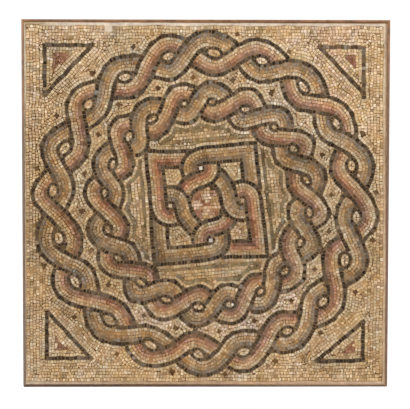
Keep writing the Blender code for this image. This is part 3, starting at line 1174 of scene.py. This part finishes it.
# ======================================================================= blender
scene = bpy.context.scene
MM = 0.001


class Nodes:
    """Short hand for building a node material."""

    def __init__(self, name):
        self.mat = bpy.data.materials.new(name)
        self.mat.use_nodes = True
        self.tree = self.mat.node_tree
        self.tree.nodes.clear()
        self.out = self.tree.nodes.new("ShaderNodeOutputMaterial")
        self.bsdf = self.tree.nodes.new("ShaderNodeBsdfPrincipled")
        self.link(self.bsdf.outputs[0], self.out.inputs[0])
        coord = self.tree.nodes.new("ShaderNodeTexCoord")
        self.where = coord.outputs["Object"]

    def link(self, a, b):
        self.tree.links.new(a, b)

    def node(self, kind, **inputs):
        n = self.tree.nodes.new(kind)
        for k, v in inputs.items():
            self.put(n.inputs[k.replace("_", " ")] if isinstance(k, str) else n.inputs[k], v)
        return n

    def put(self, socket, v):
        if hasattr(v, "links") or hasattr(v, "is_output"):
            self.link(v, socket)
        else:
            socket.default_value = v

    def noise(self, scale, detail=4.0, rough=0.55, at=None, distort=0.0):
        n = self.tree.nodes.new("ShaderNodeTexNoise")
        self.link(at or self.where, n.inputs["Vector"])
        n.inputs["Scale"].default_value = scale
        n.inputs["Detail"].default_value = detail
        n.inputs["Roughness"].default_value = rough
        n.inputs["Distortion"].default_value = distort
        return n.outputs["Fac"]

    def cells(self, scale, at=None, feature="F1"):
        n = self.tree.nodes.new("ShaderNodeTexVoronoi")
        n.feature = feature
        self.link(at or self.where, n.inputs["Vector"])
        n.inputs["Scale"].default_value = scale
        return n.outputs["Distance"]

    def ramp(self, value, lo, hi, out_lo=0.0, out_hi=1.0):
        n = self.tree.nodes.new("ShaderNodeMapRange")
        n.interpolation_type = "SMOOTHSTEP"
        self.put(n.inputs["Value"], value)
        for k, v in (("From Min", lo), ("From Max", hi), ("To Min", out_lo), ("To Max", out_hi)):
            n.inputs[k].default_value = v
        return n.outputs["Result"]

    def math(self, op, a, b=None, clamp=False):
        n = self.tree.nodes.new("ShaderNodeMath")
        n.operation = op
        n.use_clamp = clamp
        self.put(n.inputs[0], a)
        if b is not None:
            self.put(n.inputs[1], b)
        return n.outputs[0]

    def mix(self, fac, a, b, blend="MIX"):
        n = self.tree.nodes.new("ShaderNodeMix")
        n.data_type = "RGBA"
        n.blend_type = blend
        self.put(n.inputs[0], fac)
        self.put(n.inputs[6], a)
        self.put(n.inputs[7], b)
        return n.outputs[2]

    def attr(self, name, out="Color"):
        n = self.tree.nodes.new("ShaderNodeAttribute")
        n.attribute_name = name
        return n.outputs[out]

    def bump(self, height, strength, distance, normal=None):
        n = self.tree.nodes.new("ShaderNodeBump")
        n.inputs["Strength"].default_value = strength
        n.inputs["Distance"].default_value = distance
        self.link(height, n.inputs["Height"])
        if normal is not None:
            self.link(normal, n.inputs["Normal"])
        return n.outputs["Normal"]


def rgb(r, g, b):
    return (linear(r), linear(g), linear(b), 1.0)


def stone_material():
    m = Nodes("tesserae_stone")
    base = m.attr("stone_colour")
    own = m.attr("stone_own", "Vector")          # each stone's own offset, so grain never runs across a joint
    rim = m.attr("stone_rim", "Fac")             # 0 on the face, 1 at the worn arris
    at = m.tree.nodes.new("ShaderNodeVectorMath")
    at.operation = "ADD"
    m.link(m.where, at.inputs[0])
    m.link(own, at.inputs[1])
    at = at.outputs[0]
    cloud = m.noise(260.0, 3.0, 0.6, at)
    grain = m.noise(1400.0, 3.0, 0.65, at)
    speck = m.cells(900.0, at)
    vein = m.noise(120.0, 4.0, 0.7, at, 1.2)
    light = m.mix(m.ramp(cloud, 0.32, 0.70), m.mix(1.0, base, (0.76, 0.74, 0.71, 1), "MULTIPLY"),
                  m.mix(1.0, base, (1.16, 1.15, 1.14, 1), "MULTIPLY"))
    light = m.mix(m.ramp(grain, 0.35, 0.75, 0.0, 0.35), light, m.mix(1.0, light, (1.22, 1.20, 1.16, 1), "MULTIPLY"))
    light = m.mix(m.ramp(speck, 0.05, 0.30, 0.32, 0.0), light, m.mix(1.0, light, (0.70, 0.68, 0.65, 1), "MULTIPLY"))
    thread = m.math("MULTIPLY", m.ramp(vein, 0.485, 0.50), m.ramp(vein, 0.515, 0.50))
    light = m.mix(m.math("MULTIPLY", thread, 0.35), light, m.mix(0.5, light, rgb(214, 196, 164)))
    # lime film from the joints left on the faces in places, and a darker tone along the arrises and down the sides into
    # the joints
    film = m.math("MULTIPLY", m.ramp(m.noise(38.0, 4.0, 0.6), 0.52, 0.74), m.ramp(m.noise(600.0, 3.0, 0.6), 0.40, 0.70))
    light = m.mix(m.math("MULTIPLY", film, 0.26), light, rgb(190, 172, 144))
    arris_dark = m.math("MULTIPLY", rim, m.ramp(m.noise(300.0, 3.0, 0.6), 0.25, 0.70, 0.12, 0.55))
    light = m.mix(arris_dark, light, m.mix(0.55, light, rgb(118, 98, 76)))
    m.link(light, m.bsdf.inputs["Base Color"])
    m.link(m.ramp(m.noise(500.0, 3.0, 0.6, at), 0.3, 0.7, 0.44, 0.70), m.bsdf.inputs["Roughness"])
    m.bsdf.inputs["Specular IOR Level"].default_value = 0.12
    pits = m.math("ADD", m.ramp(speck, 0.0, 0.22, 0.0, 0.6), m.math("MULTIPLY", grain, 0.5))
    pits = m.math("ADD", pits, m.math("MULTIPLY", cloud, 0.6))
    m.link(m.bump(pits, 0.5, 0.00035), m.bsdf.inputs["Normal"])
    return m.mat


def mortar_material(name, tint=None):
    m = Nodes(name)
    base = m.attr("mortar_colour") if tint is None else None
    n1, n2 = m.noise(90.0, 5.0, 0.65), m.noise(700.0, 4.0, 0.7)
    if base is None:
        base = m.mix(m.ramp(m.noise(14.0, 4.0, 0.6), 0.35, 0.65), rgb(*tint), rgb(*[c * 0.86 for c in tint]))
    c = m.mix(m.ramp(n1, 0.32, 0.70), m.mix(1.0, base, (0.84, 0.82, 0.80, 1), "MULTIPLY"),
              m.mix(1.0, base, (1.10, 1.09, 1.07, 1), "MULTIPLY"))
    sand = m.cells(1100.0)
    c = m.mix(m.ramp(sand, 0.04, 0.26, 0.5, 0.0), c, m.mix(1.0, c, (0.66, 0.60, 0.54, 1), "MULTIPLY"))
    c = m.mix(m.ramp(n2, 0.55, 0.80, 0.0, 0.4), c, rgb(206, 192, 166))
    m.link(c, m.bsdf.inputs["Base Color"])
    m.link(m.ramp(n2, 0.3, 0.7, 0.80, 0.96), m.bsdf.inputs["Roughness"])
    m.bsdf.inputs["Specular IOR Level"].default_value = 0.1
    h = m.math("ADD", m.math("MULTIPLY", n2, 0.6), m.ramp(sand, 0.0, 0.3, 0.0, 0.6))
    m.link(m.bump(h, 0.7, 0.0006), m.bsdf.inputs["Normal"])
    return m.mat


def cement_material():
    m = Nodes("cement_slab_cast")
    big, mid, fine = m.noise(5.0, 5.0, 0.6), m.noise(40.0, 5.0, 0.65), m.noise(420.0, 4.0, 0.7)
    c = m.mix(m.ramp(big, 0.30, 0.70), rgb(128, 124, 116), rgb(158, 152, 141))
    c = m.mix(m.ramp(mid, 0.42, 0.66, 0.0, 0.6), c, rgb(112, 108, 101))
    stones_in = m.cells(160.0)
    c = m.mix(m.ramp(stones_in, 0.05, 0.17, 0.45, 0.0), c, rgb(96, 90, 82))
    c = m.mix(m.ramp(fine, 0.55, 0.80, 0.0, 0.5), c, rgb(184, 178, 166))
    pores = m.cells(75.0)
    c = m.mix(m.ramp(pores, 0.02, 0.07, 0.8, 0.0), c, rgb(70, 67, 62))
    m.link(c, m.bsdf.inputs["Base Color"])
    m.link(m.ramp(mid, 0.3, 0.7, 0.80, 0.95), m.bsdf.inputs["Roughness"])
    m.bsdf.inputs["Specular IOR Level"].default_value = 0.25
    h = m.math("ADD", m.math("MULTIPLY", mid, 0.9), m.math("MULTIPLY", fine, 0.25))
    h = m.math("ADD", h, m.ramp(pores, 0.02, 0.09, 0.0, 0.8))
    m.link(m.bump(h, 0.7, 0.0018), m.bsdf.inputs["Normal"])
    return m.mat


def iron_material(name, body, rust, deep, low=None, lap=None):
    """Rusted flat bar.  low is the body colour at the foot of an upright; lap is lime smeared over the inner
    side: (axis, inner edge, reach, start, end, colour), places in metres."""
    m = Nodes(name)
    n1, n2, n3 = m.noise(7.0, 5.0, 0.6), m.noise(45.0, 5.0, 0.65), m.noise(480.0, 4.0, 0.7)
    place = m.tree.nodes.new("ShaderNodeSeparateXYZ")
    m.link(m.where, place.inputs[0])
    c = m.mix(m.ramp(n1, 0.36, 0.64), rgb(*body), rgb(*rust))
    if low is not None:
        height = m.math("ADD", place.outputs[2], m.math("MULTIPLY", n1, 0.3))
        c = m.mix(m.ramp(height, 0.22, 0.72), rgb(*low), c)
    c = m.mix(m.ramp(n2, 0.46, 0.70, 0.0, 0.75), c, rgb(*deep))
    c = m.mix(m.ramp(n3, 0.50, 0.78, 0.0, 0.45), c, rgb(176, 124, 82))
    scale = m.cells(210.0)
    c = m.mix(m.ramp(scale, 0.04, 0.18, 0.55, 0.0), c, rgb(58, 40, 30))
    if lap is not None:
        axis, inner, reach, start, end, colour = lap
        across, along = place.outputs[2 if axis == 0 else 0], place.outputs[axis]
        ragged = m.math("ADD", across, m.math("MULTIPLY", m.noise(60.0, 4.0, 0.7), 0.0022))
        near = m.ramp(ragged, inner - reach, inner - reach + 0.0012)
        film = m.math("MULTIPLY", near, m.ramp(along, start, end))
        film = m.math("MULTIPLY", film, m.ramp(n3, 0.30, 0.52, 0.55, 1.0))
        c = m.mix(film, c, rgb(*colour))
    m.link(c, m.bsdf.inputs["Base Color"])
    m.bsdf.inputs["Metallic"].default_value = 0.2
    m.link(m.ramp(n2, 0.3, 0.7, 0.52, 0.80), m.bsdf.inputs["Roughness"])
    h = m.math("ADD", m.math("MULTIPLY", n3, 0.5), m.ramp(scale, 0.0, 0.25, 0.0, 0.6))
    h = m.math("ADD", h, m.math("MULTIPLY", n2, 0.7))
    m.link(m.bump(h, 0.55, 0.0006), m.bsdf.inputs["Normal"])
    return m.mat


def dress(obj, mat):
    obj.data.materials.clear()
    obj.data.materials.append(mat)


def add_mesh(name, verts, faces, mat, body="root"):
    me = bpy.data.meshes.new(name)
    me.from_pydata(verts, [], faces)
    me.update()
    ob = bpy.data.objects.new(name, me)
    scene.collection.objects.link(ob)
    me.materials.append(mat)
    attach(ob, body)
    return ob


def put_attr(me, name, kind, values, width):
    a = me.attributes.new(name, kind, "POINT")
    flat = np.asarray(values, np.float32).ravel()
    a.data.foreach_set("color" if kind == "FLOAT_COLOR" else "vector" if kind == "FLOAT_VECTOR" else "value", flat)
    return a


# ----------------------------------------------------------------------- stones in relief
lo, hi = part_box("tessellatum")
Y_FACE = lo.y                    # front of the stones
Y_FOOT = Y_FACE + 3.0 * MM       # stones run on down into the bed
stone_mat = stone_material()


def shrink(poly, d):
    """Moves each side of a convex polygon in by about d, keeping the number of corners."""
    n = len(poly)
    cx, cz = centre(poly)
    out = []
    for i in range(n):
        a, b, c = poly[i - 1], poly[i], poly[(i + 1) % n]
        e0 = (b[0] - a[0], b[1] - a[1])
        e1 = (c[0] - b[0], c[1] - b[1])
        l0, l1 = math.hypot(*e0) or 1.0, math.hypot(*e1) or 1.0
        n0 = (-e0[1] / l0, e0[0] / l0)
        n1 = (-e1[1] / l1, e1[0] / l1)
        k = 1.0 + n0[0] * n1[0] + n0[1] * n1[1]
        k = max(k, 0.5)
        mx, mz = (n0[0] + n1[0]) / k * d, (n0[1] + n1[1]) / k * d
        room = math.hypot(b[0] - cx, b[1] - cz) * 0.55
        ln = math.hypot(mx, mz)
        if ln > room > 0:
            mx, mz = mx * room / ln, mz * room / ln
        out.append((b[0] + mx, b[1] + mz))
    return out


def chip(poly, r):
    """Knocks small corners off, as cut stone has."""
    out = []
    n = len(poly)
    for i in range(n):
        a, b, c = poly[i - 1], poly[i], poly[(i + 1) % n]
        l0, l1 = math.hypot(a[0] - b[0], a[1] - b[1]), math.hypot(c[0] - b[0], c[1] - b[1])
        if n < 8 and min(l0, l1) > 3.0 and r.random() < 0.42:
            k = min(r.uniform(0.5, 1.9), 0.38 * min(l0, l1))
            k0, k1 = k * r.uniform(0.6, 1.2), k * r.uniform(0.6, 1.2)
            out.append((b[0] + (a[0] - b[0]) * k0 / l0, b[1] + (a[1] - b[1]) * k0 / l0))
            out.append((b[0] + (c[0] - b[0]) * k1 / l1, b[1] + (c[1] - b[1]) * k1 / l1))
        else:
            out.append(b)
    return out


PARTS = 4
groups = {}
for st in stones:
    x, z = centre(st.poly)
    gi = min(PARTS - 1, int((x - FIELD[0]) / (FIELD[2] - FIELD[0]) * PARTS))
    gj = min(PARTS - 1, int((FIELD[3] - z) / (FIELD[3] - FIELD[1]) * PARTS))
    groups.setdefault((gj, gi), []).append(st)

for (gj, gi), members in sorted(groups.items()):
    verts, faces, cols, owns, rims = [], [], [], [], []
    for st in members:
        r = random.Random(int(st.seed * 7e8) + 5)
        poly = chip(st.poly, r)
        n = len(poly)
        cx, cz = centre(poly)
        col = [linear(v) for v in stone_colour(st)] + [1.0]
        own = (r.uniform(-3, 3), r.uniform(-3, 3), r.uniform(-3, 3))
        roll = 0.45 * (field(cx, cz, 55, 31) - 0.5) + 0.35 * (field(cx, cz, 140, 33) - 0.5)
        lift = r.gauss(0, 0.13) + roll
        tx, tz = r.gauss(0, 0.018), r.gauss(0, 0.018)
        worn = r.uniform(0.55, 1.25)
        small = min(1.0, math.sqrt(area(poly)) / 8.0)
        rings = ((shrink(poly, 0.70 * worn * small), 0.0, 0.0), (shrink(poly, 0.24 * worn * small), 0.10 * worn, 0.40),
                 (poly, 0.42 * worn, 1.0), (shrink(poly, -0.12), 3.0, 1.0))
        base = len(verts)
        for k, (line, drop, rim) in enumerate(rings):
            for x, z in line:
                face = Y_FACE + max(-0.35, min(0.55, lift + (x - cx) * tx + (z - cz) * tz)) * MM
                y = Y_FOOT if k == 3 else face + drop * MM
                verts.append((x * MM, y, z * MM))
                cols.append(col)
                owns.append(own)
                rims.append(rim)
        faces.append(tuple(range(base, base + n)))
        for k in range(3):
            a, b = base + k * n, base + (k + 1) * n
            for i in range(n):
                j = (i + 1) % n
                faces.append((a + i, b + i, b + j, a + j))
    name = "stones_r%d_c%d" % (gj + 1, gi + 1)
    ob = add_mesh(name, verts, faces, stone_mat)
    me = ob.data
    put_attr(me, "stone_colour", "FLOAT_COLOR", cols, 4)
    put_attr(me, "stone_own", "FLOAT_VECTOR", owns, 3)
    put_attr(me, "stone_rim", "FLOAT", rims, 1)
    # plan layout for the baked maps
    uv = me.uv_layers.new(name="OFBake")
    co = np.array(verts)
    lox, loz = co[:, 0].min(), co[:, 2].min()
    span = max(co[:, 0].max() - lox, co[:, 2].max() - loz) * 1.004
    loop_v = np.zeros(len(me.loops), np.int32)
    me.loops.foreach_get("vertex_index", loop_v)
    flat = np.stack([(co[loop_v, 0] - lox) / span + 0.002, (co[loop_v, 2] - loz) / span + 0.002], 1).astype(np.float32)
    uv.data.foreach_set("uv", flat.ravel())
    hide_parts("tessellatum")

# ----------------------------------------------------------------------- mortar in the joints and round the edge
mlo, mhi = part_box("setting_mortar")
IN_X0, IN_X1 = mlo.x + 0.1 * MM, mhi.x - 0.1 * MM
IN_Z0, IN_Z1 = mlo.z + 0.1 * MM, mhi.z - 0.1 * MM


def stations(a, b, rim, fine, coarse):
    out = [a]
    while out[-1] < b - 1e-9:
        d = min(out[-1] - a, b - out[-1])
        out.append(out[-1] + (fine if d < rim else coarse))
    out[-1] = b
    return out


gx = stations(IN_X0 / MM, IN_X1 / MM, 30.0, 1.9, 4.6)
gz = stations(IN_Z0 / MM, IN_Z1 / MM, 30.0, 1.9, 4.6)
verts, cols, faces = [], [], []
# the mortar along the frame: colour by place along each edge
STRIP = {
    "t": ((-550, (178, 152, 118)), (-500, (184, 162, 130)), (-440, (208, 192, 172)), (550, (212, 196, 178))),
    "r": ((-550, (186, 158, 130)), (0, (196, 168, 138)), (300, (204, 180, 152)), (550, (210, 194, 172))),
    "b": ((-550, (180, 160, 140)), (-200, (166, 140, 114)), (150, (180, 149, 120)), (550, (186, 160, 137))),
    "l": ((-550, (186, 161, 136)), (150, (190, 166, 140)), (300, (196, 180, 154)), (550, (198, 184, 158))),
}
BAR_EDGE_BROWN = (120, 86, 57)             # a brown band in the mortar along the inner edge of the top bar, widening to the right, and of the right bar, fading out below the middle


def strip_colour(side, x, z):
    along = x if side in "tb" else z
    table = STRIP[side]
    at = [t[0] for t in table]
    return [float(np.interp(along, at, [t[1][k] for t in table])) for k in range(3)]


JOINT = (151, 116, 78)
JOINT_SUNK_SHADE = (92, 64, 36)        # painted shade where the mortar has weathered back and the joint lies deeper
JOINT_PALE = (130, 107, 80)       # between the dark stones
mask = np.zeros((GN, GN), bool)
raster([st.poly for st in stones if st.kind == "dark"], mask)
dark_near = distance(mask, 16)
for z in gz:
    for x in gx:
        # how far outside the laid stones this point is, in millimetres
        out = {
            "t": z - edge_top(x), "r": x - edge_right(z), "b": edge_bottom(x) - z, "l": edge_left(z) - x}
        for x0, z0, x1, z1 in LOST:
            out["p"] = min(x - x0, x1 - x, z - z0) + 0.5
        side = max(out, key=lambda k: out[k])
        d = out[side]
        f = min(1.0, max(0.0, (d + 0.6) / 2.6))
        f = f * f * (3 - 2 * f)
        lump = (field(x, z, 9, 41) - 0.5) * 0.5 + (field(x, z, 3.1, 43) - 0.5) * 0.30
        pale = max(0.0, 1.0 - dark_near[min(GN - 1, max(0, int(z - GZ0))), min(GN - 1, max(0, int(x - GX0)))] / 3.0)
        # deep is how far a joint has weathered back: it sinks the mortar and darkens its colour towards the deep joint
        # colour as painted shade
        deep = min(1.0, max(0.0, (field(x, z, 13, 51) * 0.6 + field(x, z, 47, 53) * 0.4 - 0.36) * 3.2)) * (1 - pale)
        deep = max(deep, hump(x, z, -505, 170, 40, 170) * (1 - pale))
        low = 0.82 + 1.5 * deep - 0.05 * pale
        y = (Y_FACE + (low + lump * 0.6) * MM) * (1 - f) + (Y_FACE + (0.35 + lump) * MM) * f
        gap = min(x - IN_X0 / MM, IN_X1 / MM - x, z - IN_Z0 / MM, IN_Z1 / MM - z)
        if gap < 0.9:
            y += 0.55 * MM
        verts.append((x * MM, y, z * MM))
        lime = strip_colour("t" if side == "p" else side, x, z)
        bar_band = 0.0
        top_gap, side_gap = IN_Z1 / MM - z, IN_X1 / MM - x
        reach = 1.2 + 2.6 * (x + 550) / 1100 + 1.4 * (field(x, 0, 60, 61) - 0.5)
        bar_band = max(bar_band, min(1.0, max(0.0, 1.4 - top_gap / reach)))
        reach = (5.6 + 2.0 * (field(0, z, 60, 63) - 0.5)) * min(1.0, max(0.0, (z + 170) / 240))
        if reach > 0.3:
            bar_band = max(bar_band, min(1.0, max(0.0, 1.5 - side_gap / reach)) * 0.9)
        lime = [lime[k] + (BAR_EDGE_BROWN[k] + (20 if side == "r" else 0) - lime[k]) * bar_band for k in range(3)]
        foot_gap = z - IN_Z0 / MM
        if side == "b" and foot_gap < 6:
            lime = [v * (1.10 - 0.016 * foot_gap) for v in lime]
        shade = 0.94 + 0.14 * field(x, z, 22, 47) + 0.22 * (field(x, z, 5, 49) - 0.5) * (1 - f)
        joint = [JOINT[k] + (JOINT_SUNK_SHADE[k] - JOINT[k]) * deep + (JOINT_PALE[k] - JOINT[k]) * pale for k in range(3)]
        c = [linear(min(250.0, (joint[k] * (1 - f) + lime[k] * f) * shade)) for k in range(3)]
        cols.append(c + [1.0])
W = len(gx)
for j in range(len(gz) - 1):
    for i in range(W - 1):
        a = j * W + i
        faces.append((a, a + 1, a + W + 1, a + W))
# a skirt that carries the sheet down into the bed, and its back
edge = [i for i in range(W)] + [j * W + W - 1 for j in range(1, len(gz))] \
    + [(len(gz) - 1) * W + i for i in range(W - 2, -1, -1)] + [j * W for j in range(len(gz) - 2, 0, -1)]
foot = len(verts)
for e in edge:
    x, y, z = verts[e]
    verts.append((x, Y_FOOT, z))
    cols.append(cols[e])
m = len(edge)
for k in range(m):
    q = (k + 1) % m
    faces.append((edge[k], foot + k, foot + q, edge[q]))
faces.append(tuple(foot + k for k in range(m - 1, -1, -1)))
joints = add_mesh("lime_joints", verts, faces, mortar_material("lime_joint_mortar"))
put_attr(joints.data, "mortar_colour", "FLOAT_COLOR", cols, 4)
joints.data.shade_smooth()

# ----------------------------------------------------------------------- carried-over parts
dress(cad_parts["setting_mortar"], mortar_material("lime_bedding", (178, 162, 136)))
dress(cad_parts["backing_slab"], cement_material())
dress(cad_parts["frame_top"], iron_material("iron_top", (130, 90, 62), (160, 114, 76), (98, 66, 44)))
# the bottom bar is the same rusted iron with a darker body: rust, plus painted shade as if the light from above left
# its front in shadow
dress(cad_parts["frame_bottom"], iron_material(
    "iron_bottom_rust_and_shade", (72, 48, 34), (94, 62, 42), (52, 35, 26), lap=(0, -0.545, 0.0014, -0.25, 0.35, (176, 148, 120))))
dress(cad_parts["frame_left"], iron_material("iron_left", (150, 116, 92), (182, 132, 98), (122, 98, 80), low=(122, 104, 90)))
dress(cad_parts["frame_right"], iron_material("iron_right", (142, 108, 82), (164, 118, 84), (112, 84, 66), low=(122, 94, 75)))

# ======================================================================= stage
def area_light(name, place, aim, size, power, colour=(1, 1, 1)):
    light = bpy.data.lights.new(name, "AREA")
    light.shape = "RECTANGLE"
    light.size, light.size_y = size
    light.energy = power
    light.color = colour
    ob = bpy.data.objects.new(name, light)
    ob.location = place
    d = [aim[i] - place[i] for i in range(3)]
    flat = math.hypot(d[0], d[1])
    ob.rotation_euler = (math.atan2(flat, -d[2]), 0.0, math.atan2(d[1], d[0]) - math.pi / 2)
    scene.collection.objects.link(ob)
    return ob


key = bpy.data.lights.new("key", "SUN")
key.energy = 1.55
key.angle = math.radians(14)
key.color = (1.0, 0.988, 0.965)
key_ob = bpy.data.objects.new("key", key)
key_ob.rotation_euler = Vector((-0.35, -0.75, 1.0)).to_track_quat("Z", "Y").to_euler()
scene.collection.objects.link(key_ob)
area_light("rear", (1.2, 2.6, 1.8), (0, 0, 0), (2.0, 2.0), 12.0)

world = bpy.data.worlds.new("studio")
scene.world = world
world.use_nodes = True
bg = world.node_tree.nodes["Background"]
wt = world.node_tree
way = wt.nodes.new("ShaderNodeTexCoord")
split = wt.nodes.new("ShaderNodeSeparateXYZ")
wt.links.new(way.outputs["Generated"], split.inputs[0])
fade = wt.nodes.new("ShaderNodeMapRange")
fade.interpolation_type = "SMOOTHSTEP"
for k, v in (("From Min", -0.9), ("From Max", 0.75), ("To Min", 0.62), ("To Max", 1.06)):
    fade.inputs[k].default_value = v
wt.links.new(split.outputs[1], fade.inputs["Value"])
bg.inputs["Color"].default_value = (1.0, 1.0, 1.0, 1.0)
wt.links.new(fade.outputs["Result"], bg.inputs["Strength"])

floor_mesh = bpy.data.meshes.new("floor")
s = 14.0
FLOOR_Z = -0.86
floor_mesh.from_pydata([(-s, -s, FLOOR_Z), (s, -s, FLOOR_Z), (s, s, FLOOR_Z), (-s, s, FLOOR_Z)], [], [(0, 1, 2, 3)])
floor = bpy.data.objects.new("floor", floor_mesh)
scene.collection.objects.link(floor)
fm = Nodes("floor_pale")
fm.link(fm.mix(fm.ramp(fm.noise(1.2, 3.0), 0.3, 0.7), rgb(246, 245, 243), rgb(249, 249, 248)), fm.bsdf.inputs["Base Color"])
fm.bsdf.inputs["Roughness"].default_value = 0.9
floor_mesh.materials.append(fm.mat)

cam_data = bpy.data.cameras.new("camera")
cam_data.lens = 99.57
cam_data.sensor_width = 36.0
cam = bpy.data.objects.new("camera", cam_data)
cam.location = (-0.0406, -3.45, 0.1474)
cam.rotation_euler = (math.radians(87.5175), math.radians(-0.0773), math.radians(-0.6371))
scene.collection.objects.link(cam)
scene.camera = cam
scene.view_settings.view_transform = "Standard"
